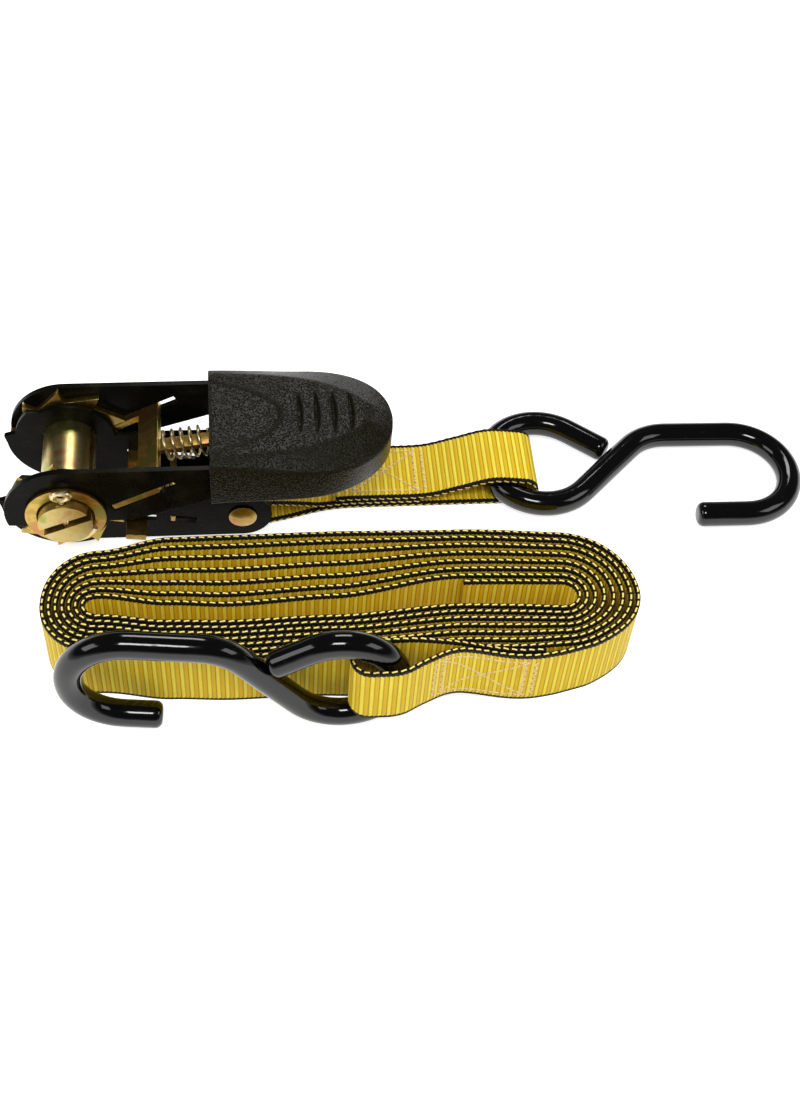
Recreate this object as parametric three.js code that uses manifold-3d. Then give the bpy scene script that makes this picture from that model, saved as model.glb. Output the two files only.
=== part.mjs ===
// Ratchet strap for 25 mm webbing: a closed ratchet buckle with its short sewn strap and S-hook,
// and beside it the long strap, rolled up on edge, with a second S-hook in its sewn eye.
// Millimetres, +Z up, +X along the buckle from the mandrel to the grip, table at Z = 0.
// The least gap between neighbouring turns of the roll and of the springs is printed.
import * as THREE from "three";
import { mergeVertices } from "three/addons/utils/BufferGeometryUtils.js";
import Module from "manifold-3d";

const wasm = await Module();
wasm.setup();

// Clearances
const fitGap = 0.3; // running gap between neighbouring pieces
const plyGap = 0.5; // gap between two sewn plies
const overrun = 1; // how far a cutting tool runs past what it cuts

// Webbing
const webbingWidth = 25.4;
const webbingThickness = 1.5;
const plyPitch = webbingThickness + plyGap;

// Where the mandrel axis stands over the table, and the middle of the buckle
const mandrelX = -116;
const buckleY = 23.2;

// Ratchet frame: a stamped channel, two side plates on a floor
const framePlateThickness = 1.8;
const frameGap = 28; // between the side plates
const frameLobeRadius = 22.2; // the cheek that holds the drive pawl off at the left
const frameTipRadius = 22.9;
const frameStopRadius = 19; // cam in front of the stop notch
const frameLowRadius = 15.7; // where the drive pawl may reach the teeth
const frameLift = 1.9; // how far the cheeks reach below the lower edge
const frameDepth = frameLobeRadius - frameLift; // from the mandrel axis to the lower edge
const frameUpperEdge = 0.7; // upper edge of the tail, above the mandrel axis
const frameFloorStart = 30;
const frameFloorEnd = 50;
const rivetX = 60.2; // from the mandrel axis
const rivetZ = -10;
const frameEndRadius = 10.3; // about the rivet

// Handle: a stamped channel round the frame, closed over it
const handlePlateThickness = 2;
const handleGap = 37.6;
const handleLobeRadius = 20.8; // cam that lifts the lock pawl when the handle lies fully open
const handleLowRadius = 14.9;
const handleLength = 73;
const handleEndTaper = 7;
const handleLowerEdge = -4.5;
const handleRiseStart = 22.4;
const handleRiseEnd = 58;
const handleTailZ = 8.2; // lower edge inside the grip
const handleWebStart = 49.8;
const spindleSeatWidth = 17;
const spindleSeatDrop = 13.5;

// Mandrel: two half-moon shafts with a slot for the webbing between them
const shaftRadius = 9.25;
const webbingSlot = 3;
const shaftProud = 3.7; // beyond the washers
const slotTilt = THREE.MathUtils.degToRad(24);
const washerRadius = 13.7;
const washerHoleRadius = 9.85;
const washerThickness = 1.2;
const pinWireRadius = 1.1;
const pinEyeRadius = 1.7;
const pinEyeStretch = 1.5; // the eye is an oval that lies along the shaft's top
const pinLean = THREE.MathUtils.degToRad(22); // away from square to the slot
const pinLegTurns = [64, -40]; // degrees that each leg is bent round the shaft

// Ratchet wheels
const wheelThickness = 2.4;
const wheelTeeth = 9;
const toothTipRadius = 20.8;
const toothRootRadius = 15.6;

// Drive pawl: a bent plate with two arms, a stem through its spring and a finger plate
const pawlThickness = 2.4;
const drivePawlTilt = THREE.MathUtils.degToRad(27.7);
const drivePawlOffset = 5.57; // how far the line of the plate passes below the mandrel axis
const drivePawlTip = 15.35; // along its own line, from the foot of the mandrel axis
const drivePawlBack = 33.4;
const drivePawlBar = 8; // depth of the cross bar
const drivePawlArm = 4.4; // width of each arm
const drivePawlTravel = 6.2;
const stemTilt = THREE.MathUtils.degToRad(10);
const stemWidth = 5.4;
const stemThickness = 2;
const stemLength = 26;
const fingerPlateLength = 38;
const fingerPlateWidth = 20;
const fingerLipDrop = 8;
const driveSpringRadius = 5.1; // middle of the wire
const driveSpringWire = 0.5; // radius
const driveSpringCurls = 5;

// Lock pawl: a bar across both plates, pushed by its own spring
const lockPawlTilt = THREE.MathUtils.degToRad(-8);
const lockPawlOffset = 5.57;
const lockPawlTip = 20.75;
const lockPawlWidth = 7;
const lockPawlProud = 4.4; // beyond the handle's plates
const lockPawlTravel = 3;
const lockTongueLength = 4.6;
const lockTongueWidth = 2.8;
const lockSpringRadius = 2.7;
const lockSpringWire = 0.4;
const lockSpringCurls = 4;
const lockSpringLength = 8.4;
const springPlateThickness = 1.6;
const springPlateHeight = 9;
const springPlateEar = 2.6;
const springSlotLength = 9;

// Rivet that carries the short strap
const rivetShankRadius = 3;
const rivetHeadRadius = 4.95;
const rivetHeadHeight = 1.8;
const sleeveRadius = 4;

// Moulded grip over the end of the handle: a flat top, sloping shoulders down to a rim, upright sides
const gripStart = 49.7;
const gripEnd = 113;
const gripNoseStart = 82;
const gripNoseFullness = 2.3; // exponent of the nose's outline, 2 for an ellipse
const gripHalfWidth = 22.8;
const gripFlare = 1.2; // wider at the nose, each side
const gripAboveHandle = 4.6;
const gripTop = handleLobeRadius + gripAboveHandle;
const gripTopHalf = 18.9; // half width of the flat top at the left
const gripTopEnd = 106.5;
const gripRimDropLeft = 1.2;
const gripRimDropRight = 4;
const gripRimLeft = gripTop - gripRimDropLeft;
const gripRimRight = gripTop - gripRimDropRight;
const gripBottomLeft = 5;
const gripBottomRight = 10.5;
const gripTuck = 1.6; // how much narrower the lower edge is at the nose, each side
const gripWall = 1.7;
const grooveLength = 20;
const grooveHalfWidth = 1.6;
const grooveDepth = 0.8;
const grooveCount = 4;
const groovePitch = 5.9;
const grooveStart = 80.4;

// S-hooks: vinyl-coated rod, the eye bent shut and the other end open. The two are bent a little
// differently; the bend is placed from the centre of the eye.
const rodRadius = 4.55;
const shortHookBends = { eyeRadius: 19.8, bendRadius: 19.55, bendX: 74, bendY: -6.65, tipLength: 19.3 };
const longHookBends = { eyeRadius: 18.2, bendRadius: 18.3, bendX: 67.8, bendY: -5.8, tipLength: 12.4 };
const hookEyeLegTurn = THREE.MathUtils.degToRad(52);
const hookShankTurn = THREE.MathUtils.degToRad(45);
const hookFilletRadius = 20;
const hookEndRound = 1.6;

// Where the hooks lie
const shortHookX = 55; // centre of the eye
const shortHookY = 33.2;
const longHookX = -26.1;
const longHookY = -69.9;
const longHookYaw = THREE.MathUtils.degToRad(1.7);
const longHookLean = THREE.MathUtils.degToRad(2.5);

// Short strap
const shortStrapShift = 8.4; // sideways, away from the rivet
const shortShiftStart = 68.5;
const shortShiftEnd = 101;
const shortSewnStart = 92; // from the mandrel axis
const shortSewnEnd = 128;
const shortFoldX = 168.4;
const shortArch = 12.3; // of the upper ply over the rod

// Long strap roll: a flat spiral about a spine
const rollLeft = -104;
const rollRight = 50;
const rollSpineY = -38.4;
const rollTurnsOnRight = 8;
const rollPitch = 2.1; // tightest
const rollBunching = 0.6; // how much of the slack the middle turns take from the inner and outer ones
const rollVoid = 3.5; // half width of the empty middle
const rollStartShare = 0.786; // where the inner end lies, along the back
const backStations = 14;
const frontStations = 10;
const bendStations = 9;
// The keys run once round the roll: back from left to right, right bend, front, left bend
const keyShares = [0, 0.06, 0.11, 0.2, 0.31, 0.45, 0.485, 0.55, 0.6, 0.75, 0.95, 1];
const pitchShares = [1.35, 1.92, 2.02, 1.92, 1.43, 1.32, 1.09, 1.25, 1.24, 1.07, 1.02, 1.35];
const innerShares = [0.3, 0.02, -0.13, 0.14, 1.22, 1.3, 1.25, 1.05, 0.95, 0.78, 0.85, 0.3];
const sagShares = [0, -0.9, -1.15, -0.85, 0.15, -0.35];
const rollSewnY = -63.2; // the tail of the sewn end
const endLift = 10.4; // how far the sewn eye is lifted by the standing hook

// Finishes
function finish(colour, roughness, metalness) {
  return new THREE.MeshStandardMaterial({ color: colour, roughness, metalness });
}
const blackPaint = finish(0x141414, 0.45, 0.3);
const blackPlastic = finish(0x1a1a1a, 0.7, 0);
const blackVinyl = finish(0x0b0b0b, 0.15, 0);
const goldZinc = finish(0xc9a24a, 0.3, 0.9);
const springSteel = finish(0xb9a878, 0.35, 0.9);
const yellowWebbing = finish(0xe2b010, 0.75, 0);

// Solids and booleans
function solidOf(geometry) {
  const bare = geometry.clone();
  bare.deleteAttribute("normal");
  bare.deleteAttribute("uv");
  const merged = mergeVertices(bare);
  return new wasm.Manifold(new wasm.Mesh({
    numProp: 3,
    vertProperties: new Float32Array(merged.attributes.position.array),
    triVerts: new Uint32Array(merged.index.array),
  }));
}

function geometryOf(solid) {
  const mesh = solid.getMesh();
  const geometry = new THREE.BufferGeometry();
  geometry.setAttribute("position", new THREE.BufferAttribute(new Float32Array(mesh.vertProperties), 3));
  geometry.setIndex(new THREE.BufferAttribute(new Uint32Array(mesh.triVerts), 1));
  geometry.computeVertexNormals();
  return geometry;
}

function join(...geometries) {
  return geometryOf(geometries.map(solidOf).reduce((whole, next) => whole.add(next)));
}

function cut(geometry, ...tools) {
  return geometryOf(tools.map(solidOf).reduce((whole, tool) => whole.subtract(tool), solidOf(geometry)));
}

// A flat outline in X and Z, made solid from yLow to yHigh
function plate(outline, yLow, yHigh, curveSegments = 10) {
  const geometry = new THREE.ExtrudeGeometry(outline, {
    depth: yHigh - yLow, bevelEnabled: false, curveSegments,
  });
  geometry.rotateX(Math.PI / 2);
  geometry.translate(0, yHigh, 0);
  return geometry;
}

function block(xLow, xHigh, yLow, yHigh, zLow, zHigh) {
  const geometry = new THREE.BoxGeometry(xHigh - xLow, yHigh - yLow, zHigh - zLow);
  geometry.translate((xLow + xHigh) / 2, (yLow + yHigh) / 2, (zLow + zHigh) / 2);
  return geometry;
}

// A round bar along Y
function bar(radius, yLow, yHigh, x = 0, z = 0, sides = 32) {
  const geometry = new THREE.CylinderGeometry(radius, radius, yHigh - yLow, sides);
  geometry.translate(x, (yLow + yHigh) / 2, z);
  return geometry;
}

function polygon(points) {
  return new THREE.Shape(points.map(([x, z]) => new THREE.Vector2(x, z)));
}

function circleOutline(radius, x = 0, z = 0) {
  const outline = new THREE.Shape();
  outline.absarc(x, z, radius, 0, 2 * Math.PI);
  return outline;
}

// A round wire along a curve, closed at both ends
function wire(curve, radius, steps, sides) {
  const ring = [];
  for (let side = 0; side < sides; side += 1) {
    const turn = 2 * Math.PI * side / sides;
    ring.push([radius * Math.cos(turn), radius * Math.sin(turn)]);
  }
  return new THREE.ExtrudeGeometry(polygon(ring), { steps, bevelEnabled: false, extrudePath: curve });
}

// Rings of equally many points joined into one closed surface
function loft(rings) {
  const count = rings[0].length;
  const positions = rings.flat().flatMap((point) => [point.x, point.y, point.z]);
  const faces = [];
  for (let ring = 0; ring + 1 < rings.length; ring += 1) {
    for (let side = 0; side < count; side += 1) {
      const a = ring * count + side;
      const b = ring * count + (side + 1) % count;
      faces.push(a, b, b + count, a, b + count, a + count);
    }
  }
  const last = (rings.length - 1) * count;
  for (let side = 1; side + 1 < count; side += 1) {
    faces.push(0, side + 1, side);
    faces.push(last, last + side, last + side + 1);
  }
  const geometry = new THREE.BufferGeometry();
  geometry.setAttribute("position", new THREE.BufferAttribute(new Float32Array(positions), 3));
  geometry.setIndex(faces);
  geometry.computeVertexNormals();
  return geometry;
}

// Flat band along points: its width runs along across, its thickness square to the path
function band(points, across) {
  const halfWidth = across.clone().multiplyScalar(webbingWidth / 2);
  const rings = points.map((point, index) => {
    const before = points[Math.max(index - 1, 0)];
    const after = points[Math.min(index + 1, points.length - 1)];
    const along = after.clone().sub(before);
    const through = new THREE.Vector3().crossVectors(along, across).normalize();
    through.multiplyScalar(webbingThickness / 2);
    return [
      point.clone().add(halfWidth).add(through),
      point.clone().sub(halfWidth).add(through),
      point.clone().sub(halfWidth).sub(through),
      point.clone().add(halfWidth).sub(through),
    ];
  });
  return loft(rings);
}

// Length of a path up to each of its points
function pathLengths(points) {
  const lengths = [0];
  for (let index = 1; index < points.length; index += 1) {
    lengths.push(lengths[index - 1] + points[index].distanceTo(points[index - 1]));
  }
  return lengths;
}

// Least distance from a path to itself, between parts that lie more than skip apart along it
function leastSelfDistance(points, skip) {
  const lengths = pathLengths(points);
  const line = new THREE.Line3();
  const closest = new THREE.Vector3();
  let least = Infinity;
  for (let i = 0; i < points.length; i += 1) {
    for (let j = 0; j + 1 < points.length; j += 1) {
      if (lengths[j] - lengths[i] > skip || lengths[i] - lengths[j + 1] > skip) {
        line.set(points[j], points[j + 1]).closestPointToPoint(points[i], true, closest);
        least = Math.min(least, closest.distanceTo(points[i]));
      }
    }
  }
  return least;
}

// The buckle's group has its origin on the mandrel axis, in the middle of the webbing
const buckle = new THREE.Group();
const mandrelZ = frameLobeRadius;
buckle.position.set(mandrelX, buckleY, mandrelZ);

const frameInner = frameGap / 2;
const frameOuter = frameInner + framePlateThickness;
const wheelInner = frameOuter + fitGap;
const wheelOuter = wheelInner + wheelThickness;
const handleInner = handleGap / 2;
const handleOuter = handleInner + handlePlateThickness;
const washerInner = handleOuter + fitGap;
const washerOuter = washerInner + washerThickness;
const shaftEnd = washerOuter + shaftProud;
const shaftHoleRadius = shaftRadius + fitGap;

function place(group, name, geometry, material) {
  const mesh = new THREE.Mesh(geometry, material);
  mesh.name = name;
  group.add(mesh);
  return mesh;
}

// Point on a line that has the given tilt and passes offset below the mandrel axis
function onPawlLine(tilt, offset, along, above = 0) {
  const drop = offset - above;
  return [
    along * Math.cos(tilt) + drop * Math.sin(tilt),
    along * Math.sin(tilt) - drop * Math.cos(tilt),
  ];
}

// Outline of a straight plate that lies on a pawl line, seen from the side
function lineOutline(tilt, offset, from, to, halfThickness) {
  return polygon([
    onPawlLine(tilt, offset, from, -halfThickness), onPawlLine(tilt, offset, to, -halfThickness),
    onPawlLine(tilt, offset, to, halfThickness), onPawlLine(tilt, offset, from, halfThickness),
  ]);
}

const drivePawlOutline = (from, to, half) => lineOutline(drivePawlTilt, drivePawlOffset, from, to, half);
const lockPawlOutline = (from, to, half) => lineOutline(lockPawlTilt, lockPawlOffset, from, to, half);

function frameSideOutline() {
  const outline = new THREE.Shape();
  const lobeEndX = Math.sqrt(frameLobeRadius ** 2 - frameDepth ** 2);
  const lobeEndTurn = 2 * Math.PI - Math.atan2(frameDepth, lobeEndX);
  outline.moveTo(rivetX, -frameDepth);
  outline.absarc(rivetX, rivetZ, frameEndRadius, -Math.PI / 2, Math.PI / 2, false);
  outline.lineTo(rivetX - frameEndRadius / 2, frameUpperEdge);
  const lowStart = Math.asin(frameUpperEdge / frameLowRadius);
  outline.absarc(0, 0, frameLowRadius, lowStart, THREE.MathUtils.degToRad(126), false);
  outline.absarc(0, 0, frameStopRadius, THREE.MathUtils.degToRad(136), THREE.MathUtils.degToRad(171), false);
  const tip = THREE.MathUtils.degToRad(176);
  outline.lineTo(frameTipRadius * Math.cos(tip), frameTipRadius * Math.sin(tip));
  outline.absarc(0, 0, frameLobeRadius, THREE.MathUtils.degToRad(184), lobeEndTurn, false);
  return outline;
}

function ratchetFrame() {
  const outline = frameSideOutline();
  const near = plate(outline, -frameOuter, -frameInner);
  const far = plate(outline, frameInner, frameOuter);
  const floor = block(
    frameFloorStart, frameFloorEnd, -frameInner - overrun, frameInner + overrun,
    -frameDepth, -frameDepth + framePlateThickness,
  );
  const reach = frameOuter + overrun;
  const shaftHole = bar(shaftHoleRadius, -reach, reach, 0, 0, 40);
  const rivetHole = bar(rivetShankRadius + fitGap, -reach, reach, rivetX, rivetZ);
  const lockSlot = plate(lockPawlOutline(
    lockPawlTip - fitGap, lockPawlTip + lockPawlWidth + lockPawlTravel + fitGap, pawlThickness / 2 + fitGap,
  ), -reach, reach);
  const springSlot = plate(lockPawlOutline(
    springPlateStart - fitGap, springPlateStart + springSlotLength, springPlateEar / 2 + fitGap,
  ), -reach, reach);
  return cut(join(near, far, floor), shaftHole, rivetHole, lockSlot, springSlot);
}

const springPlateStart = lockPawlTip + lockPawlWidth + lockSpringLength;

function handleSideOutline() {
  const outline = new THREE.Shape();
  const lowerMeet = Math.asin(handleLowerEdge / handleLowRadius);
  outline.moveTo(handleLength, handleTailZ);
  outline.lineTo(handleLength, handleLobeRadius - handleEndTaper);
  outline.lineTo(handleLength - handleEndTaper, handleLobeRadius);
  outline.lineTo(0, handleLobeRadius);
  outline.absarc(0, 0, handleLobeRadius, Math.PI / 2, THREE.MathUtils.degToRad(196), false);
  outline.absarc(0, 0, handleLowRadius, THREE.MathUtils.degToRad(204), 2 * Math.PI + lowerMeet, false);
  outline.lineTo(handleRiseStart, handleLowerEdge);
  outline.lineTo(handleRiseEnd, handleTailZ);
  return outline;
}

// Where the stem of the drive pawl starts, on the back edge of the pawl plate
const stemStart = onPawlLine(drivePawlTilt, drivePawlOffset, drivePawlBack - drivePawlBar / 4);

function alongStem(distance, above = 0) {
  return [
    stemStart[0] + distance * Math.cos(stemTilt) - above * Math.sin(stemTilt),
    stemStart[1] + distance * Math.sin(stemTilt) + above * Math.cos(stemTilt),
  ];
}

function stemOutline(from, to, low, high) {
  return polygon([alongStem(from, low), alongStem(to, low), alongStem(to, high), alongStem(from, high)]);
}

function handleFrame() {
  const outline = handleSideOutline();
  const near = plate(outline, -handleOuter, -handleInner);
  const far = plate(outline, handleInner, handleOuter);
  const webLow = handleLobeRadius - handlePlateThickness;
  const web = block(
    handleWebStart, handleLength - handleEndTaper, -handleInner - overrun, handleInner + overrun,
    webLow, handleLobeRadius,
  );
  const seat = block(
    handleWebStart, handleWebStart + handlePlateThickness, -spindleSeatWidth / 2, spindleSeatWidth / 2,
    handleLobeRadius - spindleSeatDrop, webLow + overrun,
  );
  const reach = handleOuter + overrun;
  const shaftHole = bar(shaftHoleRadius, -reach, reach, 0, 0, 40);
  const pawlWay = plate(drivePawlOutline(
    drivePawlTip - fitGap, drivePawlBack + drivePawlTravel + fitGap, pawlThickness / 2 + fitGap,
  ), -reach, reach);
  const rise = drivePawlTravel * Math.sin(drivePawlTilt - stemTilt);
  const stemWay = plate(
    stemOutline(stemLength / 4, stemLength * 2, -stemThickness / 2 - fitGap, stemThickness / 2 + fitGap + rise),
    -stemWidth / 2 - fitGap, stemWidth / 2 + fitGap,
  );
  return cut(join(near, far, web, seat), shaftHole, pawlWay, stemWay);
}

function mandrelHalf(above, clearance = 0) {
  const radius = shaftRadius + clearance;
  const flat = webbingSlot / 2 - clearance;
  const start = Math.asin(flat / radius);
  const outline = new THREE.Shape();
  outline.absarc(0, 0, radius, start, Math.PI - start, false);
  outline.closePath();
  const turned = outline.getPoints(24).map((point) => {
    const turn = slotTilt + (above ? 0 : Math.PI);
    return point.rotateAround(new THREE.Vector2(0, 0), turn);
  });
  return new THREE.Shape(turned);
}

// The hole for a split pin crosses the slot and both half shafts
function pinHole(y, radius) {
  const geometry = new THREE.CylinderGeometry(radius, radius, 2 * (shaftRadius + overrun), 12);
  geometry.rotateX(Math.PI / 2);
  geometry.rotateY(pinLean - slotTilt);
  geometry.translate(0, y, 0);
  return geometry;
}

const pinY = washerOuter + fitGap + pinWireRadius;

function halfShaft(above) {
  const whole = plate(mandrelHalf(above), -shaftEnd, shaftEnd);
  const holes = [-pinY, pinY].map((y) => pinHole(y, pinWireRadius + fitGap));
  return cut(whole, ...holes);
}

function ratchetWheel(side) {
  const faceOffset = drivePawlOffset - pawlThickness / 2 - fitGap;
  const turnAt = (radius) => drivePawlTilt - Math.asin(faceOffset / radius);
  const points = [];
  for (let tooth = 0; tooth < wheelTeeth; tooth += 1) {
    const turn = 2 * Math.PI * tooth / wheelTeeth;
    for (const radius of [toothRootRadius, toothTipRadius]) {
      const angle = turn + turnAt(radius);
      points.push([radius * Math.cos(angle), radius * Math.sin(angle)]);
    }
  }
  const outline = polygon(points);
  outline.holes.push(mandrelHalf(true, fitGap), mandrelHalf(false, fitGap));
  return side > 0 ? plate(outline, wheelInner, wheelOuter) : plate(outline, -wheelOuter, -wheelInner);
}

function washer(side) {
  const outline = circleOutline(washerRadius);
  outline.holes.push(circleOutline(washerHoleRadius));
  const low = side > 0 ? washerInner : -washerOuter;
  return plate(outline, low, low + washerThickness, 40);
}

// A split pin: its eye stands on the shafts, and its two legs are bent round them
function splitPin(side) {
  const y = side * pinY;
  const round = shaftRadius + fitGap + pinWireRadius;
  const out = slotTilt - pinLean + Math.PI / 2;
  const shank = pinHole(y, pinWireRadius);
  const eye = new THREE.TorusGeometry(pinEyeRadius, pinWireRadius * 0.8, 8, 16);
  eye.rotateX(Math.PI / 2);
  eye.scale(pinEyeStretch, 1, 1);
  eye.rotateY(pinLean - slotTilt);
  eye.translate((round + pinEyeRadius) * Math.cos(out), y, (round + pinEyeRadius) * Math.sin(out));
  const legs = pinLegTurns.map((bend) => {
    const points = [];
    for (let step = 0; step <= 8; step += 1) {
      const turn = out + Math.PI + THREE.MathUtils.degToRad(bend * step / 8);
      points.push(new THREE.Vector3(round * Math.cos(turn), y, round * Math.sin(turn)));
    }
    return wire(new THREE.CatmullRomCurve3(points), pinWireRadius * 0.85, 10, 8);
  });
  return join(shank, eye, ...legs);
}

function drivePawl() {
  const reach = handleOuter - fitGap;
  const line = (from, to) => drivePawlOutline(from, to, pawlThickness / 2);
  const barPart = plate(line(drivePawlBack - drivePawlBar, drivePawlBack), -reach, reach);
  const arms = [-reach, reach - drivePawlArm].map((low) => (
    plate(line(drivePawlTip, drivePawlBack), low, low + drivePawlArm)
  ));
  const stemHalf = stemThickness / 2;
  const stem = plate(stemOutline(0, stemLength, -stemHalf, stemHalf), -stemWidth / 2, stemWidth / 2);
  const [endX, endZ] = alongStem(stemLength);
  const fingerStart = endX - stemThickness;
  const fingerEnd = fingerStart + fingerPlateLength;
  const half = fingerPlateWidth / 2;
  const low = endZ - stemThickness;
  const finger = block(fingerStart, fingerEnd, -half, half, low, low + stemThickness);
  const lip = block(
    fingerEnd - stemThickness, fingerEnd, -half, half, low - fingerLipDrop, low + stemThickness,
  );
  return join(barPart, ...arms, stem, finger, lip);
}

// A compression spring round a line in the XZ plane; its ends run straight for one wire diameter
function coilSpring(name, start, tilt, length, radius, wireRadius, curls) {
  const stepsPerCurl = 8;
  const count = curls * stepsPerCurl;
  const lead = 2 * wireRadius;
  const spot = (along, turn) => {
    const up = radius * Math.sin(turn);
    return new THREE.Vector3(
      start[0] + along * Math.cos(tilt) - up * Math.sin(tilt),
      radius * Math.cos(turn),
      start[1] + along * Math.sin(tilt) + up * Math.cos(tilt),
    );
  };
  const points = [spot(0, 0)];
  for (let step = 0; step <= count; step += 1) {
    points.push(spot(lead + (length - 2 * lead) * step / count, 2 * Math.PI * step / stepsPerCurl));
  }
  points.push(spot(length, 0));
  const least = leastSelfDistance(points, 1.7 * Math.PI * radius) - 2 * wireRadius;
  console.log(`${name}: ${curls} curls, least gap to itself ${least.toFixed(2)} mm`);
  return wire(new THREE.CatmullRomCurve3(points), wireRadius, count + 4, 5);
}

// The drive pawl's spring runs from the pawl's back edge to the seat in the handle
const stemTurn = drivePawlTilt - stemTilt;
const driveSpringFrom = (drivePawlBar / 4 + pawlThickness / 2 * Math.sin(stemTurn)) / Math.cos(stemTurn)
  + fitGap + driveSpringWire * Math.sin(stemTurn);
const driveSpringStart = alongStem(driveSpringFrom);
const driveSpringLength = (handleWebStart - fitGap - driveSpringStart[0]) / Math.cos(stemTilt)
  - driveSpringWire * Math.sin(stemTilt);

function lockPawl() {
  const reach = handleOuter + lockPawlProud;
  const back = lockPawlTip + lockPawlWidth;
  const barPart = plate(lockPawlOutline(lockPawlTip, back, pawlThickness / 2), -reach, reach);
  const tongue = plate(
    lockPawlOutline(back - overrun, back + lockTongueLength, pawlThickness / 2),
    -lockTongueWidth / 2, lockTongueWidth / 2,
  );
  return join(barPart, tongue);
}

function lockSpringPlate() {
  const end = springPlateStart + springPlateThickness;
  const inside = frameInner - fitGap;
  const body = plate(lockPawlOutline(springPlateStart, end, springPlateHeight / 2), -inside, inside);
  const ears = plate(
    lockPawlOutline(springPlateStart, end, springPlateEar / 2), -frameOuter, frameOuter,
  );
  return join(body, ears);
}

function webbingRivet() {
  const profile = [
    [0, -frameOuter - fitGap - rivetHeadHeight],
    [rivetHeadRadius * 0.7, -frameOuter - fitGap - rivetHeadHeight * 0.85],
    [rivetHeadRadius, -frameOuter - fitGap - rivetHeadHeight * 0.35],
    [rivetHeadRadius, -frameOuter - fitGap],
    [rivetShankRadius, -frameOuter - fitGap],
    [rivetShankRadius, frameOuter + fitGap],
    [rivetHeadRadius, frameOuter + fitGap],
    [rivetHeadRadius, frameOuter + fitGap + rivetHeadHeight * 0.5],
    [rivetHeadRadius * 0.6, frameOuter + fitGap + rivetHeadHeight],
    [0, frameOuter + fitGap + rivetHeadHeight],
  ].map(([radius, y]) => new THREE.Vector2(radius, y));
  const geometry = new THREE.LatheGeometry(profile, 28);
  geometry.translate(rivetX, 0, rivetZ);
  return geometry;
}

function rivetSleeve() {
  const outline = circleOutline(sleeveRadius, rivetX, rivetZ);
  outline.holes.push(circleOutline(rivetShankRadius + fitGap, rivetX, rivetZ));
  const half = frameInner - fitGap;
  return plate(outline, -half, half, 28);
}

// Half width of the grip's rim at x
function gripRimHalf(x) {
  const flare = THREE.MathUtils.smoothstep(x, gripStart, gripNoseStart);
  const half = gripHalfWidth + gripFlare * flare;
  const share = Math.max((x - gripNoseStart) / (gripEnd - gripNoseStart), 0);
  return half * Math.max(1 - share ** gripNoseFullness, 0) ** (1 / gripNoseFullness);
}

// One ring of the grip's outside, or of its hollow when inset is set
function gripRing(x, inset) {
  const share = (x - gripStart) / (gripEnd - gripStart);
  const flare = THREE.MathUtils.smoothstep(x, gripStart, gripNoseStart);
  const half = Math.max(gripRimHalf(x + inset * Math.max(share, 0)) - inset, gripWall / 4);
  const rim = gripRimLeft + (gripRimRight - gripRimLeft) * flare;
  const topShare = Math.min((x - gripStart) / (gripTopEnd - gripStart), 1);
  const topHalf = Math.max(gripTopHalf * Math.max(1 - Math.max(topShare, 0) ** 3, 0) ** 0.78, half / 4);
  const fall = THREE.MathUtils.smoothstep(x, gripTopEnd - gripFlare * 4, gripEnd);
  const fullTop = gripTop - (gripTop - rim) * fall * 0.9;
  const bottom = gripBottomLeft + (gripBottomRight - gripBottomLeft) * share;
  const tuck = gripTuck * THREE.MathUtils.smoothstep(x, gripNoseStart, gripEnd);
  const low = Math.max(half - tuck, gripWall / 5);
  if (inset === 0) {
    return [
      new THREE.Vector3(x, -low, bottom),
      new THREE.Vector3(x, low, bottom),
      new THREE.Vector3(x, half, rim),
      new THREE.Vector3(x, Math.min(topHalf, half * 0.9), fullTop),
      new THREE.Vector3(x, -Math.min(topHalf, half * 0.9), fullTop),
      new THREE.Vector3(x, -half, rim),
    ];
  }
  const top = handleLobeRadius + fitGap;
  const corner = Math.min(rim - inset * 1.35, top - fitGap / 3);
  const slope = (gripRimHalf(x) - topHalf) / (fullTop - rim);
  const topY = Math.max(half - (top - corner) * Math.max(slope, 0), half / 4);
  return [
    new THREE.Vector3(x, -low, bottom - overrun),
    new THREE.Vector3(x, low, bottom - overrun),
    new THREE.Vector3(x, half, corner),
    new THREE.Vector3(x, topY, top),
    new THREE.Vector3(x, -topY, top),
    new THREE.Vector3(x, -half, corner),
  ];
}

function gripBody(inset, start) {
  const rings = [];
  const end = gripEnd - inset;
  const straightSteps = 6;
  const noseSteps = 16;
  for (let step = 0; step < straightSteps; step += 1) {
    rings.push(gripRing(start + (gripNoseStart - start) * step / straightSteps, inset));
  }
  for (let step = 0; step <= noseSteps; step += 1) {
    const turn = Math.PI / 2 * step / noseSteps;
    rings.push(gripRing(gripNoseStart + (end - gripNoseStart) * Math.sin(turn) ** 0.85, inset));
  }
  return loft(rings.reverse().map((ring) => ring.reverse()));
}

// A spindle-shaped finger groove across the top of the grip
function gripGroove(x) {
  const half = grooveLength / 2;
  const outline = new THREE.Shape();
  outline.moveTo(x, -half);
  outline.quadraticCurveTo(x + 2 * grooveHalfWidth, 0, x, half);
  outline.quadraticCurveTo(x - grooveHalfWidth * 0.4, 0, x, -half);
  const geometry = new THREE.ExtrudeGeometry(outline, {
    depth: grooveDepth + overrun * 3, bevelEnabled: false, curveSegments: 6,
  });
  geometry.translate(0, 0, gripTop - grooveDepth);
  return geometry;
}

function handleGrip() {
  const outside = gripBody(0, gripStart);
  const hollow = gripBody(gripWall, gripStart - overrun);
  const grooves = [];
  for (let index = 0; index < grooveCount; index += 1) {
    grooves.push(gripGroove(grooveStart + groovePitch * index));
  }
  return cut(outside, hollow, ...grooves);
}

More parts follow.
